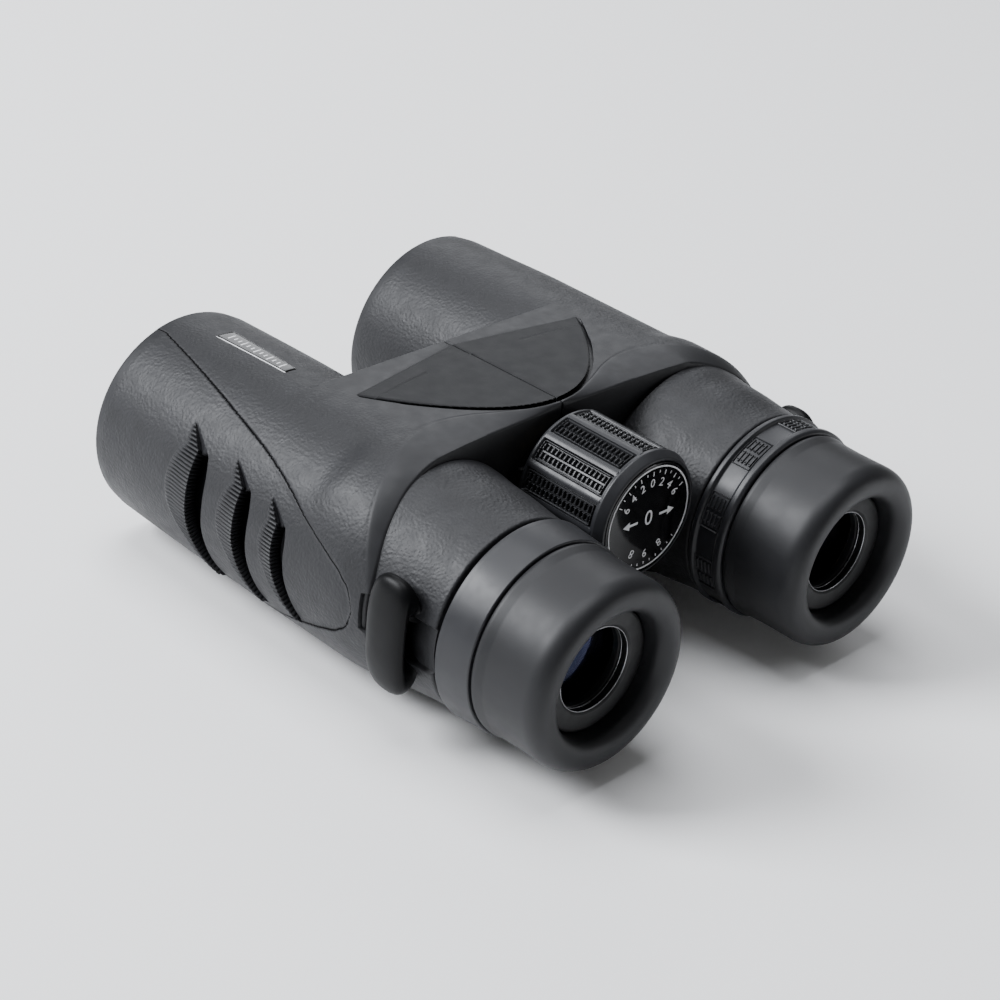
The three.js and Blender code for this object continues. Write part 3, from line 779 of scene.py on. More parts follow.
for word, side in SIDES.items():
    made = armour_shell(word + "_body_shell", side, word + "_barrel")
    print(made.name, len(made.data.polygons), "faces")

# %% [markdown]
# ## Rear tube with the strap channel
# Behind the band the barrel narrows in a pebbled tube to the eyepiece ring. On its outer side
# a flat channel is let into the rubber, so that a strap can pass under the ear of the lug. It
# is another skin of radius against y and phi, with the channel's walls between close columns.

# %% Rear tube with the strap channel
REAR_TUBE_END = box_mm("right_rear_armour")[0][1]
REAR_TUBE_FRONT = -15.95
CHANNEL_HALF, CHANNEL_FRONT, CHANNEL_FLOOR = 5.6, -22.4, 22.0
EAR_TOP, EAR_Y = 27.7, -30.9


def rear_tube(name, side, body):
    half = math.degrees(math.asin(CHANNEL_HALF / 23.5))
    phi = np.concatenate([np.arange(-90, 180 - half - 2, 1.5), 180 - half + np.linspace(-1.6, 1.6, 9),
                          np.arange(180 - half + 3, 180 + half - 2.5, 1.5),
                          180 + half + np.linspace(-1.6, 1.6, 9), np.arange(180 + half + 3, 270, 1.5)])
    rear, front = REAR_TUBE_END, REAR_TUBE_FRONT
    y = np.concatenate([rear + 0.6 * (1 - np.cos(np.linspace(0, np.pi / 2, 5))),
                        np.linspace(rear + 0.9, -24.6, 44), np.linspace(-24.4, -23.4, 8),
                        np.linspace(-23.0, front, 16)])
    wide_y, wide_phi = np.meshgrid(y, phi, indexing="ij")
    radius = REAR_TUBE(wide_y)
    edge = np.clip(0.6 - (wide_y - rear), 0, 0.6)
    radius = radius - (0.6 - np.sqrt(np.maximum(0.36 - edge ** 2, 0)))
    across = 1 - smoothstep((np.abs(wide_phi - 180) - half + 0.7) / 1.4)
    in_channel = across * smoothstep((CHANNEL_FRONT - wide_y) / 0.5)
    floor = CHANNEL_FLOOR + 0.5 * (1 - np.cos(np.radians(wide_phi - 180)))
    radius = radius * (1 - in_channel) + np.minimum(floor, radius) * in_channel
    radius = np.minimum(radius, hinge_circle(wide_phi, WHEEL_R + 0.7))
    inner_y = np.array([front, -21.6, -22.3, rear])[:, None] + 0 * phi
    inner_r = np.array([23.5, 23.5, 21.65, 21.65])[:, None] + 0 * phi
    inner_r = np.minimum(inner_r, hinge_circle(phi, WHEEL_R + 0.8)[None])
    grain = 1 - 0.7 * in_channel
    # Painted shade: the strap channel is darkened, except near its rear end.
    shade = in_channel * smoothstep((wide_y + 38) / 4)
    points = barrel_points(side, np.concatenate([wide_y, inner_y]), phi[None, :],
                           np.concatenate([radius, inner_r]))
    inside = 0 * inner_y
    tube = add_mesh(name, points, grid_faces(len(y) + 4, len(phi), True, True),
                    {"grain": np.concatenate([grain, inside]), "painted_valley_shade": np.concatenate([shade, inside])},
                    sharp=42)
    return finish_piece(tube, body, "armour_rubber", ARMOUR, name.split("_")[0] + "_rear_armour")


for word, side in SIDES.items():
    made = rear_tube(word + "_rear_shell", side, word + "_barrel")
    print(made.name, len(made.data.polygons), "faces")

# %% [markdown]
# ## Ribbed pads of the scoops
# In front of each scoop lies a leaf of fine ribs that run along the barrel and end at the
# scoop's edge, where they give it a serrated lip. The ribs fade out forwards, and the leaf
# closes in a point above. A fine patch a hair above the armour carries them: its height is a
# rounded sawtooth of phi, faded by the distance from the leaf's ends.

# %% Ribbed pads of the scoops
RIB_PITCH_DEG = 1.95
RIB_HEIGHT = 0.42
LIP_LIFT = 0.55


def pad_front(scoop, phi):
    """Front end of the ribs, from the tip round to the scoop's lower end."""
    return scoop_wall(scoop, phi) + scoop["pad"] * PAD_REACH(np.clip(scoop_place(scoop, phi), 0, 1)) + 0.03


def ribbed_pad(name, side, body, scoop):
    low, high = scoop["tip"][0] + 0.3, scoop["bottom"] - 0.3
    phi = np.linspace(low, high, int((high - low) / RIB_PITCH_DEG * 7))
    along = np.concatenate([[0], np.linspace(0.012, 1, 27)])[:, None]
    back, front = scoop_wall(scoop, phi), pad_front(scoop, phi)
    y = back * (1 - along) + front * along + 0 * phi
    wide = phi[None, :] + 0 * y
    rib = (0.5 - 0.5 * np.cos(2 * np.pi * ((wide / RIB_PITCH_DEG) % 1) ** 0.85)) ** 0.8
    ends = smoothstep((wide - low) / 2) * smoothstep((high - wide) / 3)
    fade = smoothstep((front - y) / np.minimum(2.4, 0.5 * (front - back))) * ends
    base = armour_radius(np.maximum(y, back + 0.25), wide)
    lift = LIP_LIFT * (1 - smoothstep((y - back) / 6.0)) * smoothstep(scoop_place(scoop, wide) / 0.3) * fade
    top = base + 0.03 + RIB_HEIGHT * rib * fade + lift
    top = np.where(along > 0.985, base - 0.15, top)
    y = y - 0.30 * (1 - smoothstep(along * 12)) * rib * fade * smoothstep((wide - scoop["corner"] + 1) / 2)
    bottom = base - np.where(along < 0.02, 1.7 * smoothstep((wide - scoop["corner"]) / 2) + 0.4, 0.6)
    points = barrel_points(side, np.concatenate([y, y[::-1]]), phi[None, :],
                           np.concatenate([top, bottom[::-1]]))
    rows, columns = 2 * len(along), len(phi)
    faces = grid_faces(rows, columns, True, False) + plate_ends(rows, columns)
    # Painted shade: the valleys between the ribs are darkened, and the pad's underside under the scoop's edge
    # is fully dark.
    painted_rib_shade = np.clip(1 - 1.5 * rib, 0, 1) * fade
    painted_valley_shade = np.concatenate([0.9 * painted_rib_shade, np.ones_like(bottom)])
    pad = add_mesh(name, points, faces, {"grain": np.zeros(rows * columns), "painted_valley_shade": painted_valley_shade}, sharp=60)
    return finish_piece(pad, body, "armour_rubber", ARMOUR)


for word, side in SIDES.items():
    for number, scoop in enumerate(SCOOPS, 1):
        made = ribbed_pad(f"{word}_scoop_ribs_{number}", side, word + "_barrel", scoop)
print("ribbed pads", len(made.data.polygons), "faces each")

# %% [markdown]
# ## Leaf plates on the bridge
# Two halves of a leaf cover the hinge, one on each barrel, with a thin seam between them. Their
# rear line is the parabola that the groove follows, their front falls in two very low steps,
# and their edges are softly rounded.

# %% Leaf plates on the bridge
LEAF_LIFT, LEAF_UNDER = 0.34, 1.02
FIRST_STEP, SECOND_STEP = 0.17, 0.24


def leaf_plate(name, side, body):
    """A grid over the leaf: u runs from the seam to the tip, and t from the rear arc to the
    front step. Its height is the deck's own, with a fall at each step and at the edges."""
    u = np.concatenate([SEAM_HALF + 0.01 + np.linspace(0, 0.35, 5), np.linspace(1.2, LEAF_TIP_U - 2, 90),
                        np.linspace(LEAF_TIP_U - 1.9, LEAF_TIP_U - 0.25, 16)])
    rear = leaf_arc(u) + 0.62 * np.sqrt(1 + (0.0466 * u) ** 2)
    front = np.maximum(leaf_front(u), rear + 0.05)
    middle = np.clip(15.4 - 0.0038 * u ** 2, rear + 0.02, front - 0.02)
    t1 = np.concatenate([np.linspace(0, 0.06, 7), np.linspace(0.1, 1, 14)])[:, None]
    t2 = np.concatenate([np.linspace(0.01, 0.08, 4), np.linspace(0.15, 1, 12)])[:, None]
    y = np.concatenate([rear + (middle - rear) * t1, middle + (front - middle) * t2])
    wide = u[None, :] + 0 * y
    slant = np.sqrt(1 + (0.0466 * wide) ** 2)
    rear_edge = np.clip(0.55 - (y - rear) / slant, 0, 0.55)
    seam_edge = np.clip(0.35 - (wide - SEAM_HALF - 0.01), 0, 0.35)
    height = deck_height(y) + LEAF_LIFT - FIRST_STEP * smoothstep((y - middle) / 0.12)
    height = height - SECOND_STEP * smoothstep((y - front + 0.16) / 0.15)
    height = height - (0.55 - np.sqrt(0.3025 - rear_edge ** 2))
    height = height - (0.35 - np.sqrt(0.1225 - seam_edge ** 2)) * 0.8
    top = np.stack([side * wide, y, AXIS_Z + height], -1)
    bottom = top[::-1].copy()
    bottom[..., 2] = AXIS_Z + deck_height(bottom[..., 1]) - LEAF_UNDER
    points = np.concatenate([top, bottom])
    rows, columns = len(points), len(u)
    faces = grid_faces(rows, columns, True, False) + plate_ends(rows, columns)
    leaf = add_mesh(name, points, faces, sharp=50)
    return finish_piece(leaf, body, "bridge_satin", LEAF_SKIN, name.split("_")[0] + "_petal_cover")


for word, side in SIDES.items():
    made = leaf_plate(word + "_leaf_plate", side, word + "_barrel")
print("leaf plates", len(made.data.polygons), "faces each")

# %% [markdown]
# ## Strap lug
# The lug is a fat bean of hard plastic with one slot through it along the barrel. Seen from
# behind it is a closed loop: a rounded oval outside and the slot inside. Every cross-section of
# the loop is a superellipse between the two outlines, so that it is thick at its feet, slim over
# the slot and soft all round. Its inner half lies hidden in the barrel's wall.

# %% Strap lug
EAR_HALF = 13.8


def bean_outline(turn, low, high, inner, outer, power):
    """A superellipse in the plane across the barrel: out from the optical axis against height."""
    c, s = np.cos(turn), np.sin(turn)
    out = (inner + outer) / 2 + (outer - inner) / 2 * np.sign(c) * np.abs(c) ** (2 / power)
    up = (low + high) / 2 + (high - low) / 2 * np.sign(s) * np.abs(s) ** (2 / power)
    return np.stack([out, up], -1)


def strap_ear(name, side, body):
    """The loop's cross-section is a superellipse between the outside and the slot."""
    turn = np.linspace(0, 2 * np.pi, 120, endpoint=False)
    outside = bean_outline(turn, -EAR_HALF, EAR_HALF, 20.6, EAR_TOP, 2.3)
    slot = bean_outline(turn, -5.4, 4.7, 21.7, 24.5, 5.0)
    bend = np.linspace(0, 2 * np.pi, 40, endpoint=False)
    across = np.sign(np.cos(bend)) * np.abs(np.cos(bend)) ** (2 / 2.4)
    along = np.sign(np.sin(bend)) * np.abs(np.sin(bend)) ** (2 / 2.4)
    middle, half = (outside + slot) / 2, (outside - slot) / 2
    plane = middle[:, None] + half[:, None] * across[None, :, None]
    width = CHANNEL_HALF - 0.3 * np.abs(np.sin(turn)) ** 4
    y = EAR_Y + width[:, None] * along[None, :]
    points = np.stack([side * (AXIS_X + plane[..., 0]), y, AXIS_Z + plane[..., 1]], -1)
    ear = add_mesh(name, points, grid_faces(len(turn), len(bend), True, True))
    return finish_piece(ear, body, "lug_plastic", LUG_SKIN, name.split("_")[0] + "_strap_lug")


for word, side in SIDES.items():
    made = strap_ear(word + "_strap_ear", side, word + "_barrel")
print("strap ears", len(made.data.polygons), "faces each")

# %% [markdown]
# ## Label plate
# A small gloss plate lies along the top of the left barrel in a fine white outline. It carries
# a plain row of ticks, like a scale, and no words. Its skin follows the barrel's round.

# %% Label plate
def on_barrel_patch(name, side, corners, lift, thick, rows=40, columns=16, edge=0.18):
    """A thin patch over the barrel between its four corners, given as (x, y) seen from above in
    the order rear inner, rear outer, front outer, front inner, with rounded edges."""
    a, b, c, d = (np.array(p, float) for p in corners)
    t, s = np.meshgrid(np.linspace(0, 1, rows), np.linspace(0, 1, columns), indexing="ij")
    t, s = t[..., None], s[..., None]
    flat = (1 - t) * ((1 - s) * a + s * b) + t * ((1 - s) * d + s * c)
    phi = np.degrees(np.arccos(np.clip((AXIS_X - np.abs(flat[..., 0])) / BARREL_R, -1, 1)))
    on_edge = np.zeros((rows, columns))
    on_edge[[0, -1], :] = 1
    on_edge[:, [0, -1]] = 1
    base = BARREL(flat[..., 1])
    top = barrel_points(side, flat[..., 1], phi, base + lift - edge * on_edge)
    low = barrel_points(side, flat[..., 1], phi, base + lift - thick)
    points = np.concatenate([top.reshape(-1, 3), low.reshape(-1, 3)])
    count = rows * columns
    faces = grid_faces(rows, columns)
    faces += [[count + k for k in face[::-1]] for face in grid_faces(rows, columns)]
    rim = ([(0, j) for j in range(columns)] + [(i, columns - 1) for i in range(1, rows)]
           + [(rows - 1, j) for j in range(columns - 2, -1, -1)] + [(i, 0) for i in range(rows - 2, 0, -1)])
    ring = [i * columns + j for i, j in rim]
    faces += [[ring[k], ring[(k + 1) % len(ring)], count + ring[(k + 1) % len(ring)], count + ring[k]]
              for k in range(len(ring))]
    return add_mesh(name, points, faces)


LABEL_LOW, LABEL_HIGH = box_mm("label_plate")
LABEL = [(LABEL_HIGH[0] - 0.4, LABEL_LOW[1]), (LABEL_LOW[0] + 0.5, LABEL_LOW[1]),
         (LABEL_LOW[0] - 0.4, LABEL_HIGH[1]), (LABEL_HIGH[0] + 0.4, LABEL_HIGH[1])]
LABEL_MIDDLE = np.mean(LABEL, axis=0)


def label_inset(margin):
    """The label's corners moved in by a margin."""
    return [tuple(np.array(p) - np.sign(np.array(p) - LABEL_MIDDLE) * margin) for p in LABEL]


finish_piece(on_barrel_patch("label_frame", -1, LABEL, 0.10, 0.5), "left_barrel", "gloss_black", PRINT)
finish_piece(on_barrel_patch("label_field", -1, label_inset(0.13), 0.16, 0.5), "left_barrel", "gloss_black",
             GLOSS, "label_plate")
TICKS = 13
for k in range(TICKS):
    tick_y = LABEL_LOW[1] + 3.0 + (LABEL_HIGH[1] - LABEL_LOW[1] - 6.0) * k / (TICKS - 1)
    reach = 1.15 if k % 3 == 0 else 0.6
    corners = [(LABEL_MIDDLE[0] + reach, tick_y - 0.22), (LABEL_MIDDLE[0] - reach, tick_y - 0.22),
               (LABEL_MIDDLE[0] - reach, tick_y + 0.22), (LABEL_MIDDLE[0] + reach, tick_y + 0.22)]
    finish_piece(on_barrel_patch(f"label_tick_{k:02d}", -1, corners, 0.19, 0.3, 3, 6, 0.02), "left_barrel",
                 "gloss_black", PRINT)
print("label with", TICKS, "ticks")

# %% [markdown]
# ## Eyepiece rings
# The left barrel ends in a plain trim ring. The right one has the diopter ring, which turns: it
# has two raised rims with a grooved band of grip patches between them. Both are turned
# profiles with rounded corners.

# %% Eyepiece rings
TRIM_REAR, TRIM_FRONT = (corner[1] for corner in box_mm("left_trim_ring"))
DIOPTER_REAR, DIOPTER_FRONT = (corner[1] for corner in box_mm("right_diopter_ring"))
RING_BORE = 20.25
trim = turned("left_trim_ring_skin", rounded([
    (21.7, TRIM_FRONT), (21.8, TRIM_FRONT - 0.7), (23.35, TRIM_FRONT - 1.0), (23.2, TRIM_FRONT - 2.6),
    (22.7, TRIM_REAR + 0.2), (22.5, TRIM_REAR), (RING_BORE, TRIM_REAR), (RING_BORE, TRIM_FRONT)], 0.32),
    axis_of(-1), sharp=50)
finish_piece(trim, "left_barrel", "ring_plastic", RING_SKIN, "left_trim_ring")

BAND_R = 22.55
diopter = turned("right_diopter_ring_skin", rounded([
    (22.5, DIOPTER_FRONT), (23.35, DIOPTER_FRONT - 0.35), (23.4, DIOPTER_FRONT - 1.5),
    (BAND_R, DIOPTER_FRONT - 1.9), (BAND_R, DIOPTER_REAR + 2.3), (23.1, DIOPTER_REAR + 1.9),
    (23.1, DIOPTER_REAR + 0.6), (22.6, DIOPTER_REAR), (RING_BORE, DIOPTER_REAR),
    (RING_BORE, DIOPTER_FRONT)], 0.28), axis_of(1), sharp=50)
finish_piece(diopter, "diopter_ring", "ring_plastic", RING_SKIN, "right_diopter_ring")
print("rings from", round(TRIM_REAR, 1), "to", round(TRIM_FRONT, 1))

# %% [markdown]
# ## Comb knurling
# The wheel and the diopter ring carry the same grip pattern: patches of small raised bars in
# interlocking combs. One bar is a short block with sloped sides, five quads, and a whole patch
# is one mesh of many such blocks laid round the drum. That is cheap, and it is real relief, so
# it casts its own small shadows.

# %% Comb knurling
def knurl_mesh(name, blocks, centre, radius, height):
    """Raised blocks on a drum. Each block is (angle, y, half width across, half length along), in
    degrees and millimetres; its top is drawn in from its foot by a fifth of its height."""
    angle, y, half_a, half_y = np.array(blocks, float).T
    corner_a, corner_y = np.array([-1, 1, 1, -1]), np.array([-1, -1, 1, 1])
    turn = np.degrees(0.30 * height / radius)
    points = []
    for lift, shrink in ((-0.1, 0.0), (0.62 * height, 0.25), (height, 1.0)):
        a = np.radians(angle[:, None] + corner_a * (half_a[:, None] - shrink * turn))
        r = radius + lift
        along = y[:, None] + corner_y * (half_y[:, None] - shrink * 0.3 * height)
        points.append(np.stack([centre[0] + r * np.sin(a), along, centre[1] + r * np.cos(a)], -1))
    points = np.stack(points, 1).reshape(-1, 3)
    sides = [[ring + c, ring + (c + 1) % 4, ring + 4 + (c + 1) % 4, ring + 4 + c]
             for ring in (0, 4) for c in range(4)]
    one = np.array(sides + [[8, 9, 10, 11], [3, 2, 1, 0]])
    faces = (one + 12 * np.arange(len(blocks))[:, None, None]).reshape(-1, 4).tolist()
    return add_mesh(name, points, faces, smooth=False)


def comb_patch(middle, rear, front, half_angle, radius, units):
    """Blocks of one patch: two rows of T shapes, set half a pitch apart, inside a thin frame."""
    deg = math.degrees(1 / radius)
    blocks = []
    pitch, centre, reach = (front - rear) / units, (rear + front) / 2, (front - rear) / 2
    for k in range(units):
        for row in (-1, 1):
            y = rear + pitch * (k + 0.32 + 0.36 * (row > 0))
            lane = middle + row * half_angle * 0.46
            blocks.append((lane, y, half_angle * 0.37, pitch * 0.19))
            blocks.append((lane + row * half_angle * 0.22, y + pitch * 0.33, deg * 0.17, pitch * 0.15))
            blocks.append((lane - row * half_angle * 0.30, y + pitch * 0.33, deg * 0.17, pitch * 0.15))
    for edge in (-1, 1):
        blocks.append((middle + edge * half_angle, centre, deg * 0.14, reach + 0.3))
        for k in range(4):
            blocks.append((middle + (k - 1.5) * half_angle / 2, centre + edge * (reach + 0.25),
                           half_angle / 4 + 0.05, 0.14))
    return blocks


patches = []
for k in range(9):
    patches += comb_patch(k * 40 + 12, DIOPTER_REAR + 2.6, DIOPTER_FRONT - 2.3, 10.5, BAND_R, 4)
combs = knurl_mesh("right_diopter_ring_combs", patches, axis_of(1), BAND_R, 0.38)
finish_piece(combs, "diopter_ring", "ring_plastic", KNURL_SKIN)
print(len(patches), "blocks on the diopter ring")

# %% [markdown]
# ## Focus wheel
# The wheel is a rubber drum with smooth raised bars. Between the bars lie sunk windows, each in
# a thin frame and filled with combs. Its rear rim is round and smooth, and a gloss cap closes
# it. The drum is one skin of radius against y and angle, with the bars' shoulders between close
# columns.

# %% Focus wheel
WHEEL_BARS = 13
WINDOW_HALF = 9.6
FIRST_WINDOW = 8.0
CAP_LOW, CAP_HIGH = box_mm("focus_wheel_cap")
CAP_R = (CAP_HIGH[0] - CAP_LOW[0]) / 2
WINDOW_R = WHEEL_R - 0.8
WHEEL_REAR, WHEEL_FRONT = WHEEL_LOW[1], WHEEL_HIGH[1]
RIM_LENGTH = 2.9


def wheel_drum():
    """Radius of the drum: the bars' full radius, less the windows' depth where both the angle
    and y are inside a window; shoulders are smooth steps."""
    step = 360 / WHEEL_BARS
    shoulder = np.linspace(WINDOW_HALF - 0.5, WINDOW_HALF + 1.3, 7)
    local = np.concatenate([np.linspace(-step / 2, step / 2, 17)[:-1], -shoulder, shoulder])
    local = np.unique(np.round(local, 3))
    angle = np.concatenate([FIRST_WINDOW + k * step + local for k in range(WHEEL_BARS)])
    rim_end = WHEEL_REAR + RIM_LENGTH
    y = np.concatenate([np.linspace(rim_end, rim_end + 1.0, 8),
                        np.linspace(rim_end + 1.4, WHEEL_FRONT - 1.8, 24),
                        np.linspace(WHEEL_FRONT - 1.6, WHEEL_FRONT - 0.6, 8),
                        WHEEL_FRONT - 0.5 * (1 - np.sin(np.linspace(0, np.pi / 2, 5)))])
    offset = (angle - FIRST_WINDOW + step / 2) % step - step / 2
    across = 1 - smoothstep((np.abs(offset) - WINDOW_HALF - 0.2) / 0.8)
    along = smoothstep((y - rim_end - 0.2) / 0.5) * (1 - smoothstep((y - WHEEL_FRONT + 1.4) / 0.5))
    deep = across[None, :] * along[:, None]
    crown = np.clip(1 - ((np.abs(offset) - step / 2) / 3.0) ** 2, 0, 1)
    bar = 0.16 * crown[None, :] * (y < WHEEL_FRONT - 0.6)[:, None]
    radius = WHEEL_R - 0.14 + bar - (WHEEL_R - WINDOW_R) * deep
    front_edge = np.clip(y - (WHEEL_FRONT - 0.5), 0, 0.5)
    radius = radius - (0.5 - np.sqrt(0.25 - front_edge ** 2))[:, None]
    rim = rounded([(CAP_R + 0.25, WHEEL_REAR + 0.7), (CAP_R + 0.3, WHEEL_REAR),
                   (WHEEL_R - 1.2, WHEEL_REAR + 0.15), (WHEEL_R, WHEEL_REAR + 2.2),
                   (WHEEL_R - 0.12, rim_end - 0.1)], 1.3, 6, False)
    inner = np.array([(5.4, WHEEL_FRONT), (5.4, WHEEL_REAR + 1.3), (CAP_R + 0.25, WHEEL_REAR + 1.3)])
    all_y = np.concatenate([rim[:, 1], y, inner[:, 1]])[:, None] + 0 * angle
    all_r = np.concatenate([rim[:, :1] + 0 * angle, radius, inner[:, :1] + 0 * angle])
    turn = np.radians(angle)[None, :]
    points = np.stack([all_r * np.sin(turn), all_y, HINGE_Z + all_r * np.cos(turn)], -1)
    return add_mesh("focus_wheel_drum", points, grid_faces(len(all_y), len(angle), True, True), sharp=48)


drum = wheel_drum()
finish_piece(drum, "focus_wheel", "wheel_rubber", WHEEL_SKIN, "focus_wheel")
blocks = []
for k in range(WHEEL_BARS):
    middle = FIRST_WINDOW + k * 360 / WHEEL_BARS
    blocks += comb_patch(middle, WHEEL_REAR + RIM_LENGTH + 1.2, WHEEL_FRONT - 1.95, WINDOW_HALF - 1.0,
                         WINDOW_R, 15)
wheel_combs = knurl_mesh("focus_wheel_combs", blocks, (0, HINGE_Z), WINDOW_R, 0.62)
finish_piece(wheel_combs, "focus_wheel", "wheel_rubber", KNURL_SKIN)
print(len(drum.data.polygons), "faces on the drum,", len(blocks), "blocks in the windows")

# %% [markdown]
# ## Cap of the focus wheel
# The cap is a gloss disc with a thin white ring. In place of words it has a plain focusing
# dial: two arcs of ticks, numbers and an arrow each way. The numbers are drawn with Blender's
# own font and made into meshes before they are put in their places.

# %% Cap of the focus wheel
def dial_plate(name, outlines, y_back, thick):
    """Flat printed shapes on the cap: each outline is a closed list of (x, z) about the hinge
    axis, given a small thickness along y towards the rear."""
    points, faces, base = [], [], 0
    for outline in outlines:
        x, z = np.array(outline, float).T
        count = len(x)
        points += [np.stack([x, y + 0 * x, HINGE_Z + z], -1) for y in (y_back, y_back - thick)]
        faces.append(list(range(base, base + count)))
        faces.append(list(range(base + 2 * count - 1, base + count - 1, -1)))
        faces += [[base + k, base + (k + 1) % count, base + count + (k + 1) % count, base + count + k]
                  for k in range(count)]
        base += 2 * count
    piece = add_mesh(name, np.concatenate(points), faces, smooth=False)
    return finish_piece(piece, "focus_wheel", "gloss_black", PRINT)


CAP_FACE = CAP_LOW[1]
cap = turned("focus_wheel_cap_disc", rounded([
    (0.0, CAP_FACE - 0.12), (CAP_R - 0.9, CAP_FACE - 0.10), (CAP_R, CAP_FACE + 0.15), (CAP_R, CAP_FACE + 0.8),
    (0.0, CAP_FACE + 0.8)], 0.3, 4, False), (0, HINGE_Z), 96, False)
finish_piece(cap, "focus_wheel", "gloss_black", GLOSS, "focus_wheel_cap")
RING_OUT, RING_IN = 12.55, 12.2
ring = turned("focus_wheel_cap_ring", np.array([(RING_OUT, CAP_FACE - 0.08), (RING_OUT, CAP_FACE - 0.16),
                                               (RING_IN, CAP_FACE - 0.16), (RING_IN, CAP_FACE - 0.08)]),
              (0, HINGE_Z), 128)
finish_piece(ring, "focus_wheel", "gloss_black", PRINT)


def tick(turn, inner, outer, half):
    """A radial tick, clockwise from the top as seen from behind."""
    a = math.radians(turn)
    out, side_way = np.array([math.sin(a), math.cos(a)]), np.array([math.cos(a), -math.sin(a)])
    return [out * inner - side_way * half, out * outer - side_way * half,
            out * outer + side_way * half, out * inner + side_way * half]


def arrow(way):
    """A slim arrow from the middle towards one side."""
    return [(way * 3.4, -0.28), (way * 6.0, -0.28), (way * 6.0, -1.05), (way * 8.0, 0.0), (way * 6.0, 1.05),
            (way * 6.0, 0.28), (way * 3.4, 0.28)]


marks = [tick(t, 10.9 if t % 20 else 10.4, 11.5, 0.11) for t in range(-60, 61, 10)]
marks += [tick(t, 10.9, 11.5, 0.11) for t in range(130, 231, 10)]
marks += [arrow(-1), arrow(1)]
dial_plate("focus_wheel_cap_marks", marks, CAP_FACE - 0.10, 0.06)


def number_mesh(name, text, size, x, z, turn):
    """A number as a thin mesh on the cap, upright at the top of the dial and turned with it."""
    curve = bpy.data.curves.new(name, "FONT")
    curve.body, curve.size, curve.extrude = text, size, 0.03
    curve.align_x, curve.align_y = "CENTER", "CENTER"
    curve.resolution_u = 3
    holder = bpy.data.objects.new(name + "_text", curve)
    bpy.context.scene.collection.objects.link(holder)
    bpy.context.view_layer.update()
    mesh = bpy.data.meshes.new_from_object(holder.evaluated_get(bpy.context.evaluated_depsgraph_get()))
    bpy.data.objects.remove(holder)
    stand = Matrix.Rotation(math.radians(90), 4, "X")
    spin = Matrix.Rotation(math.radians(turn), 4, "Y")
    place = Matrix.Translation((x / MM, (CAP_FACE - 0.13) / MM, (HINGE_Z + z) / MM))
    mesh.transform(place @ spin @ stand @ Matrix.Scale(1 / MM, 4))
    mesh.update()
    return finish_piece(link_piece(name, mesh), "focus_wheel", "gloss_black", PRINT)


DIAL = {-60: "6", -40: "4", -20: "2", 0: "0", 20: "2", 40: "4", 60: "6", 150: "8", 180: "9", 210: "8"}
DIAL_R = 8.6
for k, (turn, text) in enumerate(DIAL.items()):
    a = math.radians(turn)
    number_mesh(f"dial_number_{k}", text, 2.9, DIAL_R * math.sin(a), DIAL_R * math.cos(a), turn)
number_mesh("dial_number_middle", "0", 5.2, 0, 0, 0)
print("dial with", len(marks), "marks and", len(DIAL) + 1, "numbers")

# %% [markdown]
# ## Eyecups
# Each eyecup is a soft rubber cup with a fat rolled rim, turned from one profile: a faint step
# where it meets the ring, straight walls, and the rim's generous round. Inside, the rim falls
# to the flat dark ring that holds the eye lens.

# %% Eyecups
def eyecup_profile(front):
    """(radius, y) round the cup: outer wall, the rim as a quarter superellipse each side of its
    crown, the throat and the inner wall."""
    outer_r, crown_r, throat_r = 21.85, 18.4, 14.6
    bend = np.linspace(0, np.pi / 2, 22)
    out = (outer_r - crown_r) * np.cos(bend) ** 0.9
    outside = np.stack([crown_r + out, REAR_Y + 4.6 * (1 - np.sin(bend) ** 0.9)], 1)
    into = (crown_r - throat_r) * np.sin(bend[1:]) ** 0.85
    inside = np.stack([crown_r - into, REAR_Y + 3.4 * (1 - np.cos(bend[1:]) ** 0.9)], 1)
    wall = rounded([(18.5, front), (22.15, front), (22.3, front - 0.9), (21.95, front - 3.2),
                    (21.8, front - 8)], 0.35, 4, False)
    return np.array([*wall[1:], *outside, *inside, (throat_r, -65.6), (throat_r, -64.5), (18.45, -64.4),
                     (18.5, front)])


for word, side in SIDES.items():
    front = (TRIM_REAR if side < 0 else DIOPTER_REAR) - 0.3
    cup = turned(word + "_eyecup_skin", eyecup_profile(front), axis_of(side), 200, sharp=55)
    finish_piece(cup, word + "_eyecup", "eyecup_rubber", EYECUP_SKIN, word + "_eyecup")
print("eyecups", len(cup.data.polygons), "faces each")

# %% [markdown]
# ## Eye lenses and their rings
# Deep in the cup a flat matte ring holds the eye lens, with a fine bright bead at its mouth.
# Behind it are the threaded wall and the coated glass. A lens could be two cut spheres, but one
# turned profile is lighter: each face is a parabola, the bulge times the square of radius over
# full radius, which lies very close to a spherical face.

# %% Eye lenses and their rings
def lens_profile(radius, rear_vertex, rear_edge, front_edge, front_vertex, steps=24):
    """Half the section of a lens, from the middle of its rear face to the middle of its front
    face: each face is a parabola close to its sphere."""
    r = np.linspace(0, radius, steps)
    rear = np.stack([r, rear_vertex + (rear_edge - rear_vertex) * (r / radius) ** 2], 1)
    front = np.stack([r[::-1], front_vertex + (front_edge - front_vertex) * (r[::-1] / radius) ** 2], 1)
    return np.concatenate([rear, front])


def add_lens(name, node, side, body, slot_name, material, bulge_rear, bulge_front):
    low, high = box_mm(node)
    radius = (high[2] - low[2]) / 2 * 0.995
    profile = lens_profile(radius, low[1], low[1] + bulge_rear, high[1] - bulge_front, high[1])
    lens = turned(name, profile, axis_of(side), 96, False, sharp=50)
    return finish_piece(lens, body, slot_name, material, node)


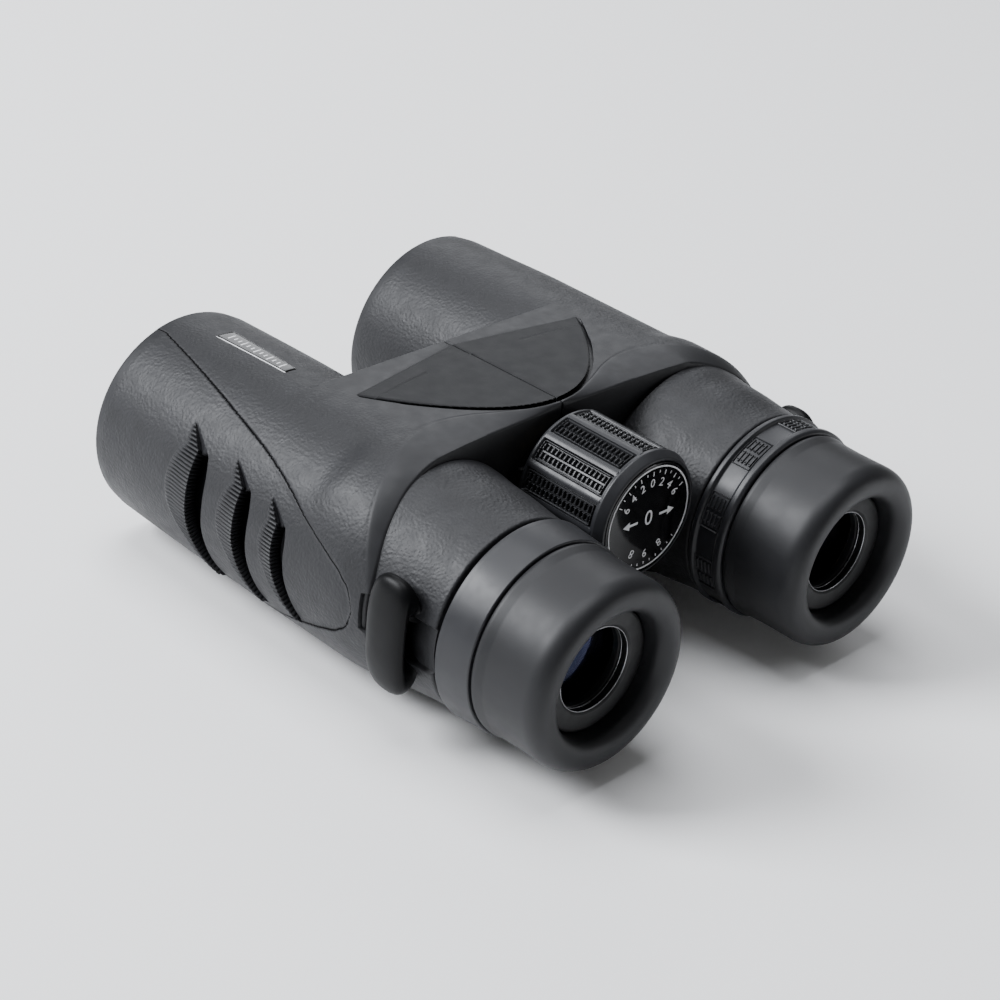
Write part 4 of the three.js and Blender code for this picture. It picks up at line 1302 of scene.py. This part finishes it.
RETAINER_REAR, RETAINER_FRONT = (corner[1] for corner in box_mm("right_eye_lens_retaining_ring"))
BEAD_R, BEAD_THICK = 9.67, 0.13
MOUTH = [(14.1, 0.1), (13.6, 0.0), (10.3, 0.05), (9.75, 0.5), (9.6, 1.6), (9.9, 1.7), (9.9, 2.8), (9.5, 2.9)]
for word, side in SIDES.items():
    add_lens(word + "_eye_lens_glass", word + "_eye_lens", side, word + "_barrel", "coated_glass", EYE_GLASS,
             2.1, 0.02)
    section = [(14.1, RETAINER_FRONT), *((r, RETAINER_REAR + y) for r, y in MOUTH), (9.5, RETAINER_FRONT)]
    retainer = turned(word + "_eye_ring", rounded(section, 0.12, 3), axis_of(side), 128, sharp=40)
    finish_piece(retainer, word + "_barrel", "inner_plastic", DARK_SKIN, word + "_eye_lens_retaining_ring")
    for k, y in enumerate((RETAINER_REAR + 0.55, RETAINER_REAR + 2.2)):
        a = np.linspace(0, 2 * np.pi, 9)[:-1]
        bead = np.stack([BEAD_R + BEAD_THICK * np.cos(a), y + BEAD_THICK * np.sin(a)], 1)
        wire = turned(f"{word}_eye_ring_bead_{k}", bead, axis_of(side), 96)
        finish_piece(wire, word + "_barrel", "black_metal", BEAD_METAL)
    barrel = turned(word + "_eyepiece_tube", rounded([
        (19.85, -31), (19.85, -50.6), (15.95, -50.75), (15.95, -63.8), (14.85, -63.8), (14.85, -31)], 0.2, 3),
        axis_of(side), 128, sharp=40)
    finish_piece(barrel, word + "_barrel", "inner_plastic", DARK_SKIN, word + "_eyepiece_barrel")
    guide = turned(word + "_eyecup_sleeve", rounded(
        [(18.2, -54), (18.2, -64.1), (16.35, -64.1), (16.35, -54)], 0.25, 3), axis_of(side), 128, sharp=40)
    finish_piece(guide, word + "_eyecup_guide", "inner_plastic", DARK_SKIN, word + "_eyecup_guide")
print("eyepieces done")

# %% [markdown]
# ## Objective ends
# The front of each barrel is a deep rubber mouth. Inside it stand a black metal cell with a fine
# thread, a screwed retaining ring with two notches for a pin spanner, and the coated front
# lens. The cell and the lenses are turned; the notches are left open between two arcs of the
# ring, which is drawn as a section carried round part of a circle.

# %% Objective ends
CELL_LOW, CELL_HIGH = box_mm("right_objective_cell")
LOCK_LOW, LOCK_HIGH = box_mm("right_objective_retaining_ring")


def arc_ring(name, profile, centre, start, end, columns=60):
    """A closed section carried round the axis from one angle to another, with flat ends."""
    angle = np.radians(np.linspace(start, end, columns))
    radius, y = profile[:, 0][:, None], profile[:, 1][:, None]
    points = np.stack([centre[0] + radius * np.cos(angle), y + 0 * angle,
                       centre[1] + radius * np.sin(angle)], -1)
    rows = len(profile)
    faces = grid_faces(rows, columns, True, False)
    faces += [[k * columns for k in range(rows)], [k * columns + columns - 1 for k in range(rows)]]
    return add_mesh(name, points, faces, sharp=40)


def threaded(radius, start, end, pitch, depth):
    """A saw line of ridges along y, from start down to end: each pitch has one point at the
    radius and one at the radius plus the depth, half a pitch on."""
    way = np.sign(end - start) * pitch
    y = start + way * np.arange(int(round(abs(end - start) / pitch)))
    foot, crest = np.stack([radius + 0 * y, y], 1), np.stack([radius + depth + 0 * y, y + way / 2], 1)
    return np.stack([foot, crest], 1).reshape(-1, 2)


for word, side in SIDES.items():
    top = CELL_HIGH[1]
    section = np.array([(21.9, CELL_LOW[1]), (21.9, top - 0.15), (21.75, top), (21.4, top),
                        *threaded(21.25, top - 0.3, LOCK_HIGH[1] - 0.4, 0.45, 0.14), (21.3, LOCK_LOW[1]),
                        *threaded(20.9, CELL_LOW[1] + 2.6, CELL_LOW[1] + 0.2, 0.6, 0.3), (21.2, CELL_LOW[1])])
    cell = turned(word + "_objective_tube", section, axis_of(side), 160, sharp=35)
    finish_piece(cell, word + "_barrel", "black_metal", BLACK_METAL, word + "_objective_cell")
    lock = rounded([(21.15, LOCK_LOW[1]), (21.15, LOCK_HIGH[1]), (20.5, LOCK_HIGH[1]),
                    (19.95, LOCK_HIGH[1] - 0.9), (19.95, LOCK_LOW[1])], 0.12, 3)
    for k in range(2):
        arc = arc_ring(f"{word}_objective_lock_{k}", lock, axis_of(side), 184 + 180 * k, 356 + 180 * k)
        finish_piece(arc, word + "_barrel", "black_metal", BLACK_METAL,
                     *([word + "_objective_retaining_ring"] if k == 0 else []))
    add_lens(word + "_crown_glass", word + "_objective_crown_lens", side, word + "_barrel", "coated_glass",
             OBJECTIVE_GLASS, 2.0, 2.4)
    add_lens(word + "_flint_glass", word + "_objective_flint_lens", side, word + "_barrel", "coated_glass",
             INNER_GLASS, -0.02, 1.9)
print("objective ends done")

# %% [markdown]
# ## Hinge between the barrels
# Under the bridge each barrel reaches in with its own knuckles, which sit one behind the other
# on a steel axle with a brass washer at the rear. Each knuckle is a turned sleeve with a short
# web into its barrel. A flat screw cap with a coin slot closes the front: its top is a sunk
# dish with one bar across, so that the two hollows beside the bar take a coin.

# %% Hinge between the barrels
CASING_LOW, CASING_HIGH = box_mm("left_casing")
AXLE_LOW, AXLE_HIGH = box_mm("hinge_axle")
KNUCKLE_R = CASING_HIGH[0]
KNUCKLES = [("left", -15.6, -9.0), ("right", -8.6, -2.0), ("left", -1.6, 5.6), ("right", 17.6, 24.6)]
AXLE_R = (AXLE_HIGH[0] - AXLE_LOW[0]) / 2
KNUCKLE_CLEARANCE = 0.3


def slab(name, low, high, edge=0.3):
    """A box between two corners, in millimetres, with bevelled edges."""
    work = bmesh.new()
    bmesh.ops.create_cube(work, size=1.0)
    middle, size = (np.array(low) + high) / 2, np.array(high) - low
    place = Matrix.Translation(middle / MM) @ Matrix.Diagonal((*size / MM, 1))
    bmesh.ops.transform(work, matrix=place, verts=work.verts)
    bmesh.ops.bevel(work, geom=work.edges[:], offset=edge / MM, segments=3, affect="EDGES", profile=0.5)
    mesh = bpy.data.meshes.new(name)
    work.to_mesh(mesh)
    work.free()
    return link_piece(name, mesh)


for word, side in SIDES.items():
    tube = turned(word + "_casing_tube", rounded([
        (23.4, CASING_HIGH[1]), (23.4, -22.0), (21.6, -22.0), (21.6, CASING_LOW[1]), (20.2, CASING_LOW[1]),
        (20.2, -22.6), (22.2, -22.0), (22.2, CASING_HIGH[1])], 0.2, 3), axis_of(side), 128)
    finish_piece(tube, word + "_barrel", "casing_plastic", CASING_SKIN, word + "_casing")
for k, (word, rear, front) in enumerate(KNUCKLES):
    side = SIDES[word]
    bore = AXLE_R + KNUCKLE_CLEARANCE
    sleeve = turned(f"hinge_knuckle_{k}", rounded([(KNUCKLE_R, front), (KNUCKLE_R, rear), (bore, rear),
                                                  (bore, front)], 0.45, 5), (0, HINGE_Z), 96)
    finish_piece(sleeve, word + "_barrel", "casing_plastic", CASING_SKIN)
    near, far = sorted((side * 8.6, side * 12.4))
    web = slab(f"hinge_web_{k}", (near, rear + 0.3, HINGE_Z - 3.8), (far, front - 0.3, HINGE_Z + 3.6))
    finish_piece(web, word + "_barrel", "casing_plastic", CASING_SKIN)

FRONT_CAP_LOW, FRONT_CAP_HIGH = box_mm("hinge_front_cap")
CAP_TOP, CAP_BASE = FRONT_CAP_HIGH[1], 24.9
front_cap = turned("hinge_cap_dish", rounded([
    (0, CAP_TOP - 1.3), (5.9, CAP_TOP - 1.3), (6.2, CAP_TOP), (8.6, CAP_TOP), (9.5, CAP_TOP - 0.8),
    (9.5, CAP_BASE), (5.9, CAP_BASE), (5.9, FRONT_CAP_LOW[1]), (0, FRONT_CAP_LOW[1])], 0.25, 4, False),
    (0, HINGE_Z), 96, False, sharp=40)
finish_piece(front_cap, "left_barrel", "black_metal", BLACK_METAL, "hinge_front_cap")
bar = slab("hinge_cap_bar", (-6.1, CAP_TOP - 1.5, HINGE_Z - 1.0), (6.1, CAP_TOP - 0.15, HINGE_Z + 1.0), 0.2)
finish_piece(bar, "left_barrel", "black_metal", BLACK_METAL)
WASHER_LOW, WASHER_HIGH = box_mm("thrust_washer")
washer = turned("thrust_washer_ring", rounded([
    (9.0, WASHER_HIGH[1]), (9.0, WASHER_LOW[1]), (5.3, WASHER_LOW[1]), (5.3, WASHER_HIGH[1])], 0.15, 3),
    (0, HINGE_Z), 96)
finish_piece(washer, "left_barrel", "washer_brass", BRASS, "thrust_washer")
print(len(KNUCKLES), "knuckles, cap, bar and washer")

# %% [markdown]
# ## Parts inside
# The prisms, the focusing carriage and the field lenses stay as they are in the CAD model. They
# sit deep in the barrels and show only through the lenses, so each gets the finish of what it
# is: glass, blackened metal, matte black plastic or steel.

# %% Parts inside
INSIDE = {
    "hinge_axle": STEEL, "focus_spindle": STEEL, "focus_shuttle": BLACK_METAL,
    "focusing_cell": BLACK_METAL, "focusing_lens": INNER_GLASS, "prism_holder": DARK_SKIN,
    "half_penta_prism": PRISM_GLASS, "roof_prism": PRISM_GLASS, "field_lens_cell": DARK_SKIN,
    "field_lens": INNER_GLASS,
}


def dress(node, material):
    """Puts a finish on a CAD node that stays in view."""
    part = frame["nodes"][node]
    if not part.material_slots:
        part.data.materials.append(material)
    for place in part.material_slots:
        place.link = "OBJECT"
        place.material = material


for ending, material in INSIDE.items():
    nodes = [ending] if ending in frame["nodes"] else [word + "_" + ending for word in SIDES]
    for node in nodes:
        dress(node, material)
print(len(INSIDE), "kinds of inner part dressed")
